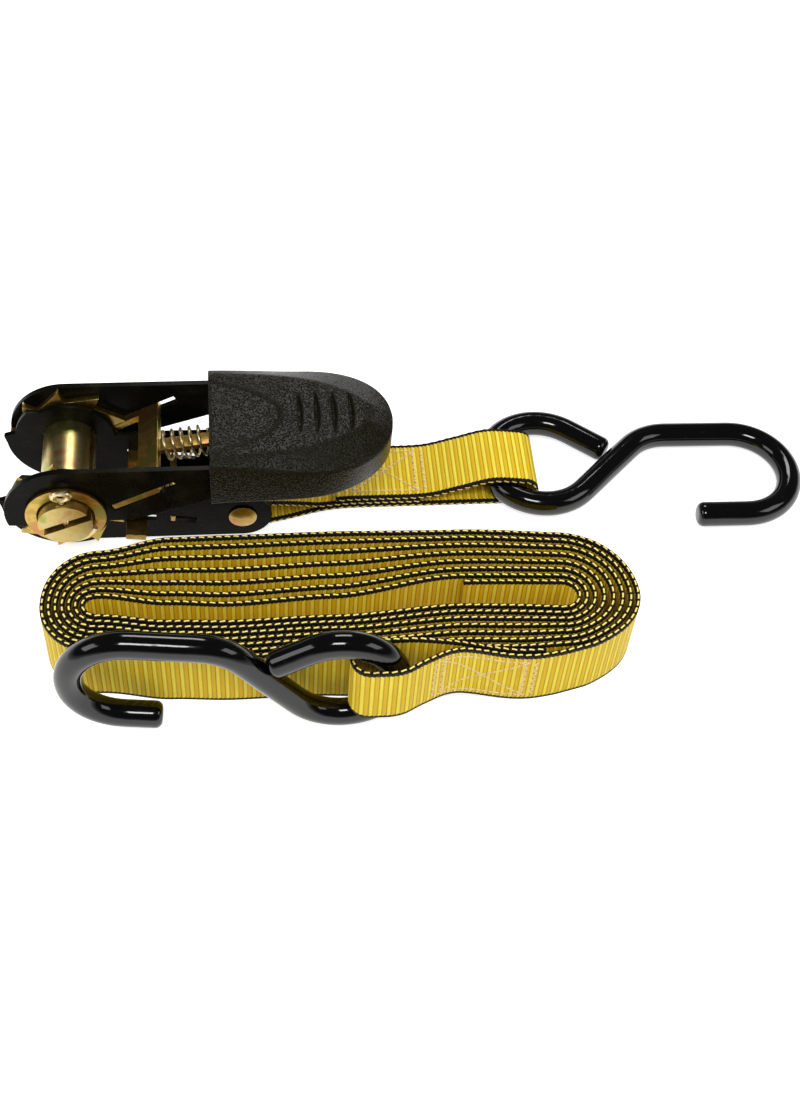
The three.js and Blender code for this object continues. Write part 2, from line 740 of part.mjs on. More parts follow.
// Centre line of an S-hook lying in the XY plane, its eye centred on the origin
function hookLine({ eyeRadius, bendRadius, bendX, bendY, tipLength }) {
  const points = [];
  const put = (x, y) => points.push(new THREE.Vector3(x, y, 0));
  const arc = (cx, cy, radius, from, to, steps, first = 0) => {
    for (let step = first; step <= steps; step += 1) {
      const turn = from + (to - from) * step / steps;
      put(cx + radius * Math.cos(turn), cy + radius * Math.sin(turn));
    }
  };
  // The shank is the line at shankTurn that touches the eye; the leg runs square into it
  const nx = Math.sin(hookShankTurn);
  const ny = -Math.cos(hookShankTurn);
  const legX = eyeRadius * Math.cos(hookEyeLegTurn);
  const legY = eyeRadius * Math.sin(hookEyeLegTurn);
  const dirX = Math.sin(hookEyeLegTurn);
  const dirY = -Math.cos(hookEyeLegTurn);
  const slope = dirX * nx + dirY * ny;
  const room = rodRadius * (1 + Math.sqrt(1 - slope * slope)) + fitGap;
  const legLength = (eyeRadius - room - legX * nx - legY * ny) / slope;
  put(legX + dirX * legLength, legY + dirY * legLength);
  put(legX + dirX * legLength / 2, legY + dirY * legLength / 2);
  arc(0, 0, eyeRadius, hookEyeLegTurn, 2 * Math.PI - hookShankTurn, 26);
  // The fillet turns the shank into the upper arm
  const armY = bendY + bendRadius;
  const filletY = armY - hookFilletRadius;
  const filletX = (eyeRadius + hookFilletRadius - filletY * ny) / nx;
  const filletTurn = Math.PI / 2 + hookShankTurn;
  arc(filletX, filletY, hookFilletRadius, filletTurn, Math.PI / 2, 6);
  arc(bendX, bendY, bendRadius, Math.PI / 2, -Math.PI / 2, 18);
  put(bendX - tipLength / 2, bendY - bendRadius);
  put(bendX - tipLength + hookEndRound, bendY - bendRadius);
  put(bendX - tipLength, bendY - bendRadius);
  return points;
}

function hook(bends) {
  const points = hookLine(bends);
  const sides = 12;
  const up = new THREE.Vector3(0, 0, 1);
  const rings = points.map((point, index) => {
    const before = points[Math.max(index - 1, 0)];
    const after = points[Math.min(index + 1, points.length - 1)];
    const aside = new THREE.Vector3().crossVectors(up, after.clone().sub(before)).normalize();
    const radius = index === points.length - 1 ? rodRadius - hookEndRound : rodRadius;
    const ring = [];
    for (let side = 0; side < sides; side += 1) {
      const turn = 2 * Math.PI * side / sides;
      ring.push(point.clone().addScaledVector(aside, radius * Math.cos(turn))
        .addScaledVector(up, radius * Math.sin(turn)));
    }
    return ring;
  });
  return loft(rings);
}

// Short strap: one length of webbing, sewn to itself, round the rivet sleeve and round the hook's eye.
// The path is in the buckle's X and Z, and shifts sideways towards the hook.
const strapFloor = -mandrelZ + webbingThickness / 2 + fitGap;

function shortStrapLine() {
  const turnRadius = sleeveRadius + fitGap + webbingThickness / 2;
  const line = [];
  const put = (x, z) => line.push([x, z]);
  const lower = strapFloor;
  const middle = lower + plyPitch;
  const upper = middle + plyPitch;
  put(shortSewnEnd - webbingWidth / 8, middle);
  put((shortSewnStart + shortSewnEnd) / 2, middle);
  put(shortSewnStart, middle);
  put(shortSewnStart - plyPitch * 2, middle + plyGap);
  put((shortSewnStart * 2 + rivetX) / 3, (middle * 2 + rivetZ + turnRadius) / 3 - plyGap * 3);
  for (let step = 0; step <= 10; step += 1) {
    const turn = Math.PI / 2 - THREE.MathUtils.degToRad(12) + THREE.MathUtils.degToRad(186) * step / 10;
    put(rivetX + turnRadius * Math.cos(turn), rivetZ + turnRadius * Math.sin(turn));
  }
  put(rivetX + (shortSewnStart - rivetX) / 2, lower + plyGap);
  put(shortSewnStart, lower);
  put((shortSewnStart + shortSewnEnd) / 2, lower);
  put(shortSewnEnd, lower);
  put((shortSewnEnd + shortFoldX) / 2, lower);
  const foldRadius = (shortArch - webbingThickness) / 2;
  const foldX = shortFoldX - foldRadius - webbingThickness / 2;
  for (let step = 0; step <= 8; step += 1) {
    const turn = -Math.PI / 2 + Math.PI * step / 8;
    put(foldX + foldRadius * Math.cos(turn), lower + foldRadius + foldRadius * Math.sin(turn));
  }
  const archX = shortHookX - mandrelX - shortHookBends.eyeRadius;
  put(archX, lower + shortArch - plyGap);
  put((archX + shortSewnEnd) / 2, upper + (shortArch - 2 * plyPitch) / 2);
  put(shortSewnEnd, upper + plyGap);
  put((shortSewnStart + shortSewnEnd) / 2, upper);
  put(shortSewnStart + plyPitch, upper);
  return line;
}

function shortStrap() {
  const controls = shortStrapLine().map(([x, z]) => new THREE.Vector3(x, 0, z));
  const curve = new THREE.CatmullRomCurve3(controls, false, "centripetal");
  const points = curve.getSpacedPoints(150);
  const gap = leastSelfDistance(points, webbingWidth / 2) - webbingThickness;
  for (const point of points) {
    const left = THREE.MathUtils.clamp((shortShiftEnd - point.x) / (shortShiftEnd - shortShiftStart), 0, 1);
    point.y = shortStrapShift * (1 - left * left);
  }
  console.log(`short strap: ${curve.getLength().toFixed(0)} mm long, least gap to itself ${gap.toFixed(2)} mm`);
  return band(points, new THREE.Vector3(0, 1, 0));
}

// Smooth value between hand-set keys that run once round the roll
function keyed(values, share) {
  let index = 0;
  while (index + 2 < keyShares.length && share > keyShares[index + 1]) {
    index += 1;
  }
  const inside = (share - keyShares[index]) / (keyShares[index + 1] - keyShares[index]);
  const eased = THREE.MathUtils.smoothstep(inside, 0, 1);
  return values[index] + (values[index + 1] - values[index]) * eased;
}

const backShare = 0.4;
const bendShare = 0.1;

// Centre of the webbing on the spiral after so many turns, the inner end being in the first
function rollPoint(turns) {
  const share = turns - Math.floor(turns);
  const slackTurns = turns - rollBunching * rollTurnsOnRight / (2 * Math.PI)
    * Math.sin(2 * Math.PI * turns / rollTurnsOnRight);
  const slack = (keyed(pitchShares, share) - 1) * slackTurns;
  const radius = rollVoid * keyed(innerShares, share) + rollPitch * (turns + slack);
  const spine = (x) => {
    const along = (x - rollLeft) / (rollRight - rollLeft);
    return rollSpineY + rollVoid * keyed(sagShares, along * backShare) - along * rollPitch;
  };
  let x = rollLeft;
  let turn = Math.PI / 2;
  if (share < backShare) {
    x = rollLeft + (rollRight - rollLeft) * share / backShare;
  } else if (share < backShare + bendShare) {
    x = rollRight;
    turn = Math.PI / 2 - Math.PI * (share - backShare) / bendShare;
  } else if (share < 2 * backShare + bendShare) {
    x = rollRight - (rollRight - rollLeft) * (share - backShare - bendShare) / backShare;
    turn = -Math.PI / 2;
  } else {
    turn = -Math.PI / 2 - Math.PI * (share - 2 * backShare - bendShare) / bendShare;
  }
  return new THREE.Vector3(x + radius * Math.cos(turn), spine(x) + radius * Math.sin(turn), 0);
}

function rollLine() {
  const points = [];
  const last = rollTurnsOnRight - 1 + backShare + bendShare;
  const runs = [
    [0, backShare, backStations], [backShare, backShare + bendShare, bendStations],
    [backShare + bendShare, 2 * backShare + bendShare, frontStations],
    [2 * backShare + bendShare, 1, bendStations],
  ];
  for (let turn = 0; turn < rollTurnsOnRight; turn += 1) {
    for (const [from, to, steps] of runs) {
      for (let step = 0; step < steps; step += 1) {
        const turns = turn + from + (to - from) * step / steps;
        if (turns >= rollStartShare * backShare && turns < last) {
          points.push(rollPoint(turns));
        }
      }
    }
  }
  return points;
}

// The end that leaves the roll, passes in front of its own tail, folds round the rod of the hook
// and comes back, sewn to itself. The leaning rod needs a little more room than an upright one.
function rollEndLine() {
  const eyeX = longHookX + longHookBends.eyeRadius * Math.cos(longHookYaw);
  const eyeY = longHookY - longHookBends.eyeRadius * Math.sin(longHookYaw);
  const leanRoom = webbingWidth / 2 * Math.sin(longHookLean);
  const around = rodRadius + webbingThickness / 2 + fitGap * 1.5 + leanRoom;
  const foldX = eyeX - longHookBends.eyeRadius * 0.54;
  const frontY = eyeY - around;
  const backY = eyeY + around;
  const sewnFrontY = rollSewnY - plyPitch;
  const line = [
    [rollRight * 0.93, sewnFrontY + plyPitch * 0.45],
    [rollRight * 0.78, sewnFrontY - plyGap * 0.3],
    [rollRight * 0.64, sewnFrontY - plyGap * 0.3],
    [rollRight * 0.5, sewnFrontY],
    [rollRight * 0.38, sewnFrontY],
    [rollRight * 0.26, sewnFrontY - plyPitch * 0.35],
    [rollRight * 0.16, sewnFrontY - plyPitch * 1.3],
    [rollRight * 0.06, sewnFrontY - plyPitch * 2.8],
    [eyeX + plyPitch * 3, frontY + plyPitch * 1.55],
    [eyeX + plyPitch * 1.2, frontY + plyPitch * 0.5],
    [eyeX - plyPitch, frontY],
    [(eyeX + foldX) / 2 - plyPitch, frontY],
  ];
  const foldRadius = around * 0.86;
  for (let step = 0; step <= 6; step += 1) {
    const turn = -Math.PI / 2 - Math.PI * step / 6;
    line.push([foldX + foldRadius * Math.cos(turn), eyeY + around * Math.sin(turn)]);
  }
  line.push([(eyeX + foldX) / 2, backY]);
  line.push([eyeX, backY]);
  line.push([rollRight * 0.08, (backY * 2 + rollSewnY) / 3 - plyGap * 0.4]);
  line.push([rollRight * 0.26, rollSewnY - plyGap * 0.4]);
  line.push([rollRight * 0.38, rollSewnY]);
  line.push([rollRight * 0.64, rollSewnY - plyGap * 0.2]);
  line.push([rollRight * 0.82, rollSewnY - plyGap * 0.2]);
  return line.map(([x, y]) => new THREE.Vector3(x, y, 0));
}

function longStrap() {
  const rolled = rollLine();
  const end = new THREE.CatmullRomCurve3(rollEndLine(), false, "centripetal").getSpacedPoints(70);
  const points = [...rolled, ...end];
  const gap = leastSelfDistance(points, webbingWidth / 2) - webbingThickness;
  const length = pathLengths(points).at(-1);
  console.log(`long strap: ${length.toFixed(0)} mm long, least gap to itself ${gap.toFixed(2)} mm`);
  const startLift = rolled.length;
  for (let index = 0; index < points.length; index += 1) {
    const share = (rollRight - points[index].x) / rollRight;
    const lift = index < startLift ? 0 : endLift * THREE.MathUtils.smoothstep(share, 0.28, 1.1);
    points[index].z = webbingWidth / 2 + lift;
  }
  return band(points, new THREE.Vector3(0, 0, 1));
}

// Buckle: every piece in the mandrel's frame
place(buckle, "ratchet_frame", ratchetFrame(), blackPaint);
place(buckle, "handle_frame", handleFrame(), blackPaint);
place(buckle, "handle_grip", handleGrip(), blackPlastic);
place(buckle, "half_shaft_upper", halfShaft(true), goldZinc);
place(buckle, "half_shaft_lower", halfShaft(false), goldZinc);
for (const [name, side] of [["near", -1], ["far", 1]]) {
  place(buckle, `ratchet_wheel_${name}`, ratchetWheel(side), goldZinc);
  place(buckle, `washer_${name}`, washer(side), goldZinc);
  place(buckle, `split_pin_${name}`, splitPin(side), springSteel);
}
place(buckle, "drive_pawl", drivePawl(), goldZinc);
place(buckle, "drive_pawl_spring", coilSpring(
  "drive pawl spring", driveSpringStart, stemTilt, driveSpringLength,
  driveSpringRadius, driveSpringWire, driveSpringCurls,
), springSteel);
place(buckle, "lock_pawl", lockPawl(), goldZinc);
place(buckle, "lock_pawl_spring", coilSpring(
  "lock pawl spring", onPawlLine(lockPawlTilt, lockPawlOffset, lockPawlTip + lockPawlWidth + fitGap),
  lockPawlTilt, lockSpringLength - 2 * fitGap, lockSpringRadius, lockSpringWire, lockSpringCurls,
), springSteel);
place(buckle, "lock_spring_plate", lockSpringPlate(), goldZinc);
place(buckle, "webbing_rivet", webbingRivet(), goldZinc);
place(buckle, "rivet_sleeve", rivetSleeve(), goldZinc);
place(buckle, "short_strap", shortStrap(), yellowWebbing);

// The short strap's hook: its eye rests on the lower ply, its bend on the table
const ropeBed = webbingThickness + 2 * fitGap + rodRadius;
const shortHook = place(new THREE.Group(), "short_strap_hook", hook(shortHookBends), blackVinyl);
const hookReach = shortHookBends.bendX + shortHookBends.bendRadius;
const hookSlope = Math.asin((ropeBed - rodRadius) / (hookReach + shortHookBends.eyeRadius));
shortHook.position.set(
  shortHookX, shortHookY, rodRadius + hookReach * Math.sin(hookSlope),
);
shortHook.rotation.set(0, hookSlope, 0);

// The long strap's hook stands on its eye and its tip and leans on the roll
const tipX = longHookBends.bendX - longHookBends.tipLength;
const tipY = longHookBends.bendY - longHookBends.bendRadius;
const sitTurn = Math.atan2(-tipY, tipX) - Math.asin(longHookBends.eyeRadius / Math.hypot(tipX, tipY));
const longHook = place(new THREE.Group(), "long_strap_hook", hook(longHookBends), blackVinyl);
const standing = new THREE.Group();
const standingZ = rodRadius + longHookBends.eyeRadius * Math.cos(longHookLean);
standing.position.set(longHookX, longHookY, standingZ);
standing.rotation.set(0, 0, Math.PI - longHookYaw, "ZYX");
const leaning = new THREE.Group();
leaning.rotation.set(Math.PI / 2 + longHookLean, 0, 0);
longHook.rotation.set(0, 0, sitTurn);
leaning.add(longHook);
standing.add(leaning);

const strap = place(new THREE.Group(), "long_strap", longStrap(), yellowWebbing);

// The whole set stands on the table, centred on the origin
const whole = new THREE.Group();
whole.add(buckle, shortHook, standing, strap);
const box = new THREE.Box3().setFromObject(whole, true);
const middle = box.getCenter(new THREE.Vector3());
whole.position.set(-middle.x, -middle.y, -box.min.z);

export default whole;
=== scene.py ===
"""Ratchet strap on a white floor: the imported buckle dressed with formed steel, a grained grip,
coated hooks and woven webbing. Lengths are written in millimetres times MM."""
import math

import bmesh
import bpy
import numpy as np
from mathutils import Matrix, Vector


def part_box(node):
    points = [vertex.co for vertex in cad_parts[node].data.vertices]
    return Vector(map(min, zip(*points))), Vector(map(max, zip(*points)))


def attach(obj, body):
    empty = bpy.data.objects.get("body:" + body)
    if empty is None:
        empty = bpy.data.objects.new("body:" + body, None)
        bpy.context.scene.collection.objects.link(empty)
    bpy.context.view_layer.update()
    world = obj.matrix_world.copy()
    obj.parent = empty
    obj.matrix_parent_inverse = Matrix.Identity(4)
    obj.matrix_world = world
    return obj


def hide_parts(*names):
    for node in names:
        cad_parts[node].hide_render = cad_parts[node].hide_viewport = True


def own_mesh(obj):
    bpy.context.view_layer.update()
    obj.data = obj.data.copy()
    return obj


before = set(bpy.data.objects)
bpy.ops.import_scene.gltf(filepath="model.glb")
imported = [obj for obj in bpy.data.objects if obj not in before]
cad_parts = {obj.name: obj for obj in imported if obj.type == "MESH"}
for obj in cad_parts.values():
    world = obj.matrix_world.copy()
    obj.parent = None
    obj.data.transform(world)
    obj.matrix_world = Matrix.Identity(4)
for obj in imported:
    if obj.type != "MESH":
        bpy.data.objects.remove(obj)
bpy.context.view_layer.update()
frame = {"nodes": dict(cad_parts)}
nodes = frame["nodes"]
MM = 0.001


def middle_of(node):
    """Centre of a node's box, in millimetres."""
    low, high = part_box(node)
    return (np.array(low) + np.array(high)) / 2 / MM


# Where the buckle's mandrel axis stands, and where the part's own drawing has it
mandrel = (middle_of("washer_near") + middle_of("washer_far")) / 2
drawn_mandrel = np.array([-116, 23.2, 22.2])
drawing = mandrel - drawn_mandrel

# Photograph: 800 by 1096 pixels, with the camera's focal length in pixels
image_height = 1096
focal_pixels = 1600
camera_azimuth = math.radians(-9)
camera_elevation = math.radians(51.8)
camera_roll = math.radians(-5.2)
camera_distance = 575
sensor = 36

# Webbing
webbing_width = 25.4
webbing_thickness = 1.5
ply_gap = 0.5
ply_pitch = webbing_thickness + ply_gap
fit_gap = 0.3
rib_pitch = 2.9  # one smooth and one grained rib
rib_height = 0.1
edge_band = 1.5  # width of the black edge on each face
edge_cord = 0.4  # what the weave's map adds at the tip of each edge
dash_start, dash_end = 0.14, 0.26  # where on that cord the yellow dashes fade in
yarn_width, yarn_length = 0.62, 0.48

# Rod and hooks; each bend is placed from the centre of the eye
rod_radius = 4.55
short_hook_bends = {"eye": 19.8, "radius": 19.55, "bend": (74, -6.65), "tip": 19.3}
long_hook_bends = {"eye": 18.2, "radius": 18.3, "bend": (67.8, -5.8), "tip": 12.4}
hook_eye_leg_turn = math.radians(52)
hook_shank_turn = math.radians(45)
hook_fillet_radius = 20
hook_end_round = 2.4
short_hook_place = (55, 33.2)
long_hook_place = (-26.1, -69.9)
long_hook_yaw = math.radians(1.7)
long_hook_lean = math.radians(2.5)


def way_to(azimuth, elevation):
    """Unit vector from the origin towards a viewer or a lamp."""
    level = math.cos(elevation)
    return np.array([math.sin(azimuth) * level, -math.cos(azimuth) * level, math.sin(elevation)])


# Camera
def add_camera():
    """The camera looks at the drawing's origin from its azimuth and elevation, and is rolled
    about its own axis."""
    back = way_to(camera_azimuth, camera_elevation)
    right = np.cross(-back, [0, 0, 1])
    right /= np.linalg.norm(right)
    up = np.cross(right, -back)
    turned_right = math.cos(camera_roll) * right - math.sin(camera_roll) * up
    turned_up = math.sin(camera_roll) * right + math.cos(camera_roll) * up
    place = (drawing * (1, 1, 0) + back * camera_distance) * MM
    data = bpy.data.cameras.new("photo_camera")
    data.sensor_width = sensor
    data.lens = sensor * focal_pixels / image_height
    data.clip_start = 10 * MM
    camera = bpy.data.objects.new("photo_camera", data)
    bpy.context.collection.objects.link(camera)
    matrix = np.eye(4)
    matrix[:3] = np.column_stack([turned_right, turned_up, back, place])
    camera.matrix_world = Matrix(matrix)
    bpy.context.scene.camera = camera


# Shader maths
class Wire:
    """A shader value; the arithmetic signs add Math nodes."""

    def __init__(self, nodes, socket):
        self.nodes = nodes
        self.socket = socket

    def maths(self, operation, *values):
        return self.nodes.wire("Math", {"operation": operation}, dict(enumerate(values)))

    def __add__(self, other):
        return self.maths("ADD", self, other)

    __radd__ = __add__

    def __sub__(self, other):
        return self.maths("SUBTRACT", self, other)

    def __rsub__(self, other):
        return self.maths("SUBTRACT", other, self)

    def __mul__(self, other):
        return self.maths("MULTIPLY", self, other)

    __rmul__ = __mul__

    def __truediv__(self, other):
        return self.maths("DIVIDE", self, other)

    def fraction(self):
        return self.maths("FRACT", self)

    def size(self):
        return self.maths("ABSOLUTE", self)

    def wave(self):
        """Sine of the value, which is in turns."""
        return self.maths("SINE", self * (2 * math.pi))

    def step(self, low, high):
        """0 below low, 1 above high, eased between them."""
        return self.nodes.wire("MapRange", {"interpolation_type": "SMOOTHSTEP"}, {
            "Value": self, "From Min": low, "From Max": high,
        })


class Nodes:
    """A shader tree and the nodes that are added to it."""

    def __init__(self, tree):
        self.tree = tree

    def put(self, socket, value):
        if isinstance(value, Wire):
            self.tree.links.new(value.socket, socket)
        else:
            socket.default_value = value

    def node(self, kind, settings=None, values=None):
        made = self.tree.nodes.new("ShaderNode" + kind)
        for key, value in (settings or {}).items():
            if key == "stops":
                ramp = made.color_ramp.elements
                while len(ramp) < len(value):
                    ramp.new(1)
                for stop, (place, colour) in zip(ramp, value):
                    stop.position = place
                    stop.color = (*colour, 1)
            else:
                setattr(made, key, value)
        for key, value in (values or {}).items():
            self.put(made.inputs[key], value)
        return made

    def wire(self, kind, settings=None, values=None, output=0):
        """One output of a new node."""
        return Wire(self, self.node(kind, settings, values).outputs[output])

    def blend(self, share, first, second):
        """The first shader where share is 0, the second where it is 1."""
        return self.wire("MixShader", None, {0: share, 1: first, 2: second})

    def seen_directly(self):
        """1 for rays of the camera, of gloss and through glass."""
        rays = self.node("LightPath")
        seen = Wire(self, rays.outputs["Is Camera Ray"])
        for name in ("Is Glossy Ray", "Is Transmission Ray"):
            seen = seen.maths("MAXIMUM", seen, Wire(self, rays.outputs[name]))
        return seen


class Paint(Nodes):
    """One material."""

    def __init__(self, name, colour, roughness, metallic=0.0):
        self.material = bpy.data.materials.new(name)
        self.material.use_nodes = True
        self.material.diffuse_color = (*colour, 1)
        super().__init__(self.material.node_tree)
        self.surface = self.tree.nodes["Principled BSDF"]
        self.set("Base Color", (*colour, 1))
        self.set("Roughness", roughness)
        self.set("Metallic", metallic)

    def set(self, name, value):
        self.put(self.surface.inputs[name], value)

    def mix(self, share, *colours):
        """The first colour where share is 0, the second where it is 1."""
        first, second = [value if isinstance(value, Wire) else (*value, 1) for value in colours]
        return self.wire("Mix", {"data_type": "RGBA"}, {0: share, 6: first, 7: second}, 2)

    def place(self):
        return self.wire("TexCoord", output="Object")

    def noise(self, size, detail=3.0, roughness=0.5):
        """Noise with lumps of about size, in metres, over Object coordinates."""
        return self.wire("TexNoise", None, {
            "Vector": self.place(), "Scale": 1 / size, "Detail": detail, "Roughness": roughness,
        }, "Fac")

    def cells(self, size):
        """Distance to the nearest of scattered points about size apart."""
        scattered = {"Vector": self.place(), "Scale": 1 / size}
        return self.wire("TexVoronoi", None, scattered, "Distance")

    def ramp(self, share, stops):
        return self.wire("ValToRGB", {"stops": stops}, {"Fac": share}, "Color")

    def cloth_place(self):
        """Along and across the webbing, in millimetres, from the piece's own map."""
        found = self.wire("UVMap", {"uv_map": "cloth"})
        split = self.node("SeparateXYZ", None, {0: found})
        return Wire(self, split.outputs[0]), Wire(self, split.outputs[1])

    def bump(self, height, distance, strength):
        raised = {"Height": height, "Distance": distance, "Strength": strength}
        self.set("Normal", self.wire("Bump", None, raised))


def black_paint():
    """Gloss black enamel: slight orange peel, and dust that dulls it in places."""
    paint = Paint("black_enamel", (0.006, 0.005, 0.003), 0.24)
    dull = paint.noise(9 * MM, 4)
    paint.set("Specular IOR Level", 0.05)
    paint.set("Roughness", 0.14 + dull * 0.2)
    clean, dusty = (0.003, 0.003, 0.002), (0.010, 0.009, 0.004)
    paint.set("Base Color", paint.mix(dull.step(0.45, 0.75), clean, dusty))
    paint.bump(paint.noise(1.6 * MM, 2), 0.04 * MM, 0.4)
    return paint.material


def grip_plastic():
    """Moulded black plastic with a fine leather grain."""
    paint = Paint("grained_plastic", (0.007, 0.007, 0.004), 0.3)
    grain = paint.cells(0.6 * MM)
    fine = paint.noise(0.3 * MM, 2)
    wear = paint.noise(14 * MM, 3)
    height = grain.step(0.0, 0.7) * 0.9 + fine * 0.5
    paint.set("Specular IOR Level", 0.2)
    middle, border = (0.003, 0.003, 0.001), (0.008, 0.007, 0.002)
    paint.set("Base Color", paint.mix(grain.step(0.1, 0.6), middle, border))
    paint.set("Roughness", 0.18 + wear * 0.08 + grain * 0.1)
    paint.bump(height, 0.12 * MM, 1.0)
    return paint.material


def zinc(name, base, tint_share):
    """Yellow zinc plating: gold that drifts into pink and green, with faint brushing."""
    paint = Paint(name, base, 0.24, 1.0)
    drift = paint.noise(9 * MM, 2, 0.6)
    light, pink, green = (0.56, 0.38, 0.10), (0.52, 0.20, 0.09), (0.30, 0.32, 0.06)
    stops = [(0.32, pink), (0.44, base), (0.52, light), (0.58, base), (0.68, green)]
    paint.set("Base Color", paint.mix(tint_share, base, paint.ramp(drift, stops)))
    scratches = paint.noise(0.5 * MM, 4, 0.7)
    paint.set("Roughness", 0.2 + scratches * 0.24)
    paint.bump(scratches, 0.012 * MM, 0.4)
    return paint.material


def spring_wire():
    """Plated spring wire."""
    paint = Paint("spring_wire", (0.74, 0.60, 0.33), 0.25, 1.0)
    paint.set("Roughness", 0.2 + paint.noise(1.2 * MM) * 0.2)
    return paint.material


def hook_vinyl():
    """Dipped vinyl: nearly black, wet-looking, with slow waves and a few scuffs."""
    paint = Paint("dipped_vinyl", (0.004, 0.004, 0.005), 0.12)
    scuff = paint.noise(2.2 * MM, 5, 0.7).step(0.62, 0.72)
    paint.set("Specular IOR Level", 0.5)
    paint.set("Roughness", 0.09 + scuff * 0.14)
    paint.set("Base Color", paint.mix(scuff, (0.001, 0.001, 0.001), (0.008, 0.008, 0.009)))
    paint.bump(paint.noise(11 * MM, 2), 0.35 * MM, 0.5)
    return paint.material


def webbing_cloth():
    """Ribbed webbing: smooth and grained ribs in turn with painted shade in the valleys between
    them, black edges with yellow dashes.
    """
    paint = Paint("webbing_weave", (0.75, 0.5, 0.02), 0.6)
    along, across = paint.cloth_place()
    turns = along / rib_pitch
    ribs = turns.wave().size()
    phase = turns.fraction()
    grained = phase.step(0.40, 0.5) - phase.step(0.92, 1.0)
    yarn = (across / yarn_width).wave() * ((along / yarn_length).wave() + 0.35)
    slow = paint.noise(17 * MM, 2)
    threads = paint.noise(1.1 * MM, 3, 0.6)
    # Painted shade mask: 1 in the valleys between the ribs
    painted_valley_shade = 1 - ribs.step(0.0, 0.75)
    smooth_colour = paint.mix(slow, (0.64, 0.36, 0.003), (0.82, 0.58, 0.005))
    yarn_colour = paint.mix(yarn.step(-0.5, 0.45), (0.86, 0.62, 0.01), (1.0, 0.93, 0.14))
    colour = paint.mix(grained * (0.3 + threads * 0.6 + slow * 0.6), smooth_colour, yarn_colour)
    # Painted shade: the rib valleys are darkened to brown
    colour = paint.mix(painted_valley_shade * (0.3 + threads * 0.4 + slow * 0.35), colour, (0.30, 0.13, 0.002))
    half = webbing_width / 2
    distance = across.size()
    scallop = (turns * 2).wave() * 0.16
    edge = (distance + scallop).step(half - edge_band, half - edge_band + 0.3)
    dash = phase.step(0.08, 0.18) - phase.step(0.68, 0.8)
    dashes = dash * distance.step(half + dash_start, half + dash_end)
    black = paint.mix(threads.step(0.55, 0.8), (0.006, 0.005, 0.004), (0.022, 0.019, 0.011))
    colour = paint.mix(edge, colour, black)
    colour = paint.mix(dashes, colour, (0.98, 0.78, 0.20))
    paint.set("Specular IOR Level", 0.2)
    paint.set("Base Color", colour)
    paint.set("Roughness", 0.5 + grained * 0.18 + edge * 0.1)
    paint.bump(ribs * 0.5 + yarn * grained * 0.14 + threads * 0.12, 0.3 * MM, 0.9)
    return paint.material


def thread():
    """Pale sewing thread with a twist."""
    paint = Paint("sewing_thread", (0.79, 0.58, 0.30), 0.6)
    shaded, lit = (0.62, 0.40, 0.16), (0.96, 0.80, 0.50)
    paint.set("Base Color", paint.mix(paint.noise(0.6 * MM), shaded, lit))
    paint.bump(paint.noise(0.3 * MM), 0.05 * MM, 0.5)
    return paint.material


paints = {
    "black_paint": black_paint(),
    "grip_plastic": grip_plastic(),
    "zinc_gold": zinc("yellow_zinc", (0.42, 0.27, 0.07), 0.9),
    "pin_steel": zinc("pale_zinc", (0.70, 0.60, 0.38), 0.4),
    "hook_vinyl": hook_vinyl(),
    "webbing": webbing_cloth(),
}
spring_paint = spring_wire()
shaft_paint = zinc("shaft_zinc", (0.54, 0.45, 0.20), 0.8)
thread_paint = thread()


# Meshes
def add_piece(name, points, faces, material, body, smooth=True):
    """A mesh from points in millimetres, riding on a body."""
    mesh = bpy.data.meshes.new(name)
    mesh.from_pydata((np.asarray(points) * MM).tolist(), [], list(faces))
    mesh.materials.append(material)
    mesh.polygons.foreach_set("use_smooth", np.full(len(mesh.polygons), smooth))
    mesh.update()
    piece = bpy.data.objects.new(name, mesh)
    bpy.context.collection.objects.link(piece)
    if body:
        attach(piece, body)
    return piece


def ring_faces(rows, columns):
    """Quads of a tube whose rows are closed rings of columns points."""
    row, column = np.meshgrid(np.arange(rows - 1), np.arange(columns), indexing="ij")
    following = (column + 1) % columns
    corners = [row * columns + column, row * columns + following,
               (row + 1) * columns + following, (row + 1) * columns + column]
    return np.stack(corners, axis=-1).reshape(-1, 4)


def tube_mesh(rings):
    """A closed tube through rings, an array of rows by columns by 3. A middle point closes each
    end with triangles."""
    rows, columns = rings.shape[:2]
    count = rows * columns
    index = np.arange(columns)
    following = (index + 1) % columns
    offset = count - columns
    start = np.stack([following, index, np.full(columns, count)], axis=-1)
    end = np.stack([offset + index, offset + following, np.full(columns, count + 1)], axis=-1)
    points = np.vstack([rings.reshape(-1, 3), rings[0].mean(axis=0), rings[-1].mean(axis=0)])
    return points, ring_faces(rows, columns).tolist() + start.tolist() + end.tolist()


def round_rings(path, radius, aside, other, columns):
    """A circle of points round each point of a path, in the plane of two directions."""
    turn = np.linspace(0, 2 * np.pi, columns, endpoint=False)[:, None]
    circle = aside[..., None, :] * np.cos(turn) + other[..., None, :] * np.sin(turn)
    return path[..., None, :] + np.asarray(radius)[..., None, None] * circle


def unit(vectors):
    """The vectors at length 1."""
    return vectors / np.linalg.norm(vectors, axis=-1, keepdims=True)


def directions(path):
    """Unit vector along a path at each of its points."""
    return unit(np.gradient(path, axis=0))


def lengths(path):
    """Length of a path up to each of its points."""
    return np.concatenate([[0], np.cumsum(np.linalg.norm(np.diff(path, axis=0), axis=1))])


def read_along(stations, measure, rows):
    """Rows of values that belong to the lengths in measure, read at stations."""
    return np.stack([np.interp(stations, measure, column) for column in rows.T], axis=-1)


def evenly(path, count):
    """The path at count points, evenly spaced along it."""
    measure = lengths(path)
    return read_along(np.linspace(0, measure[-1], count), measure, path)


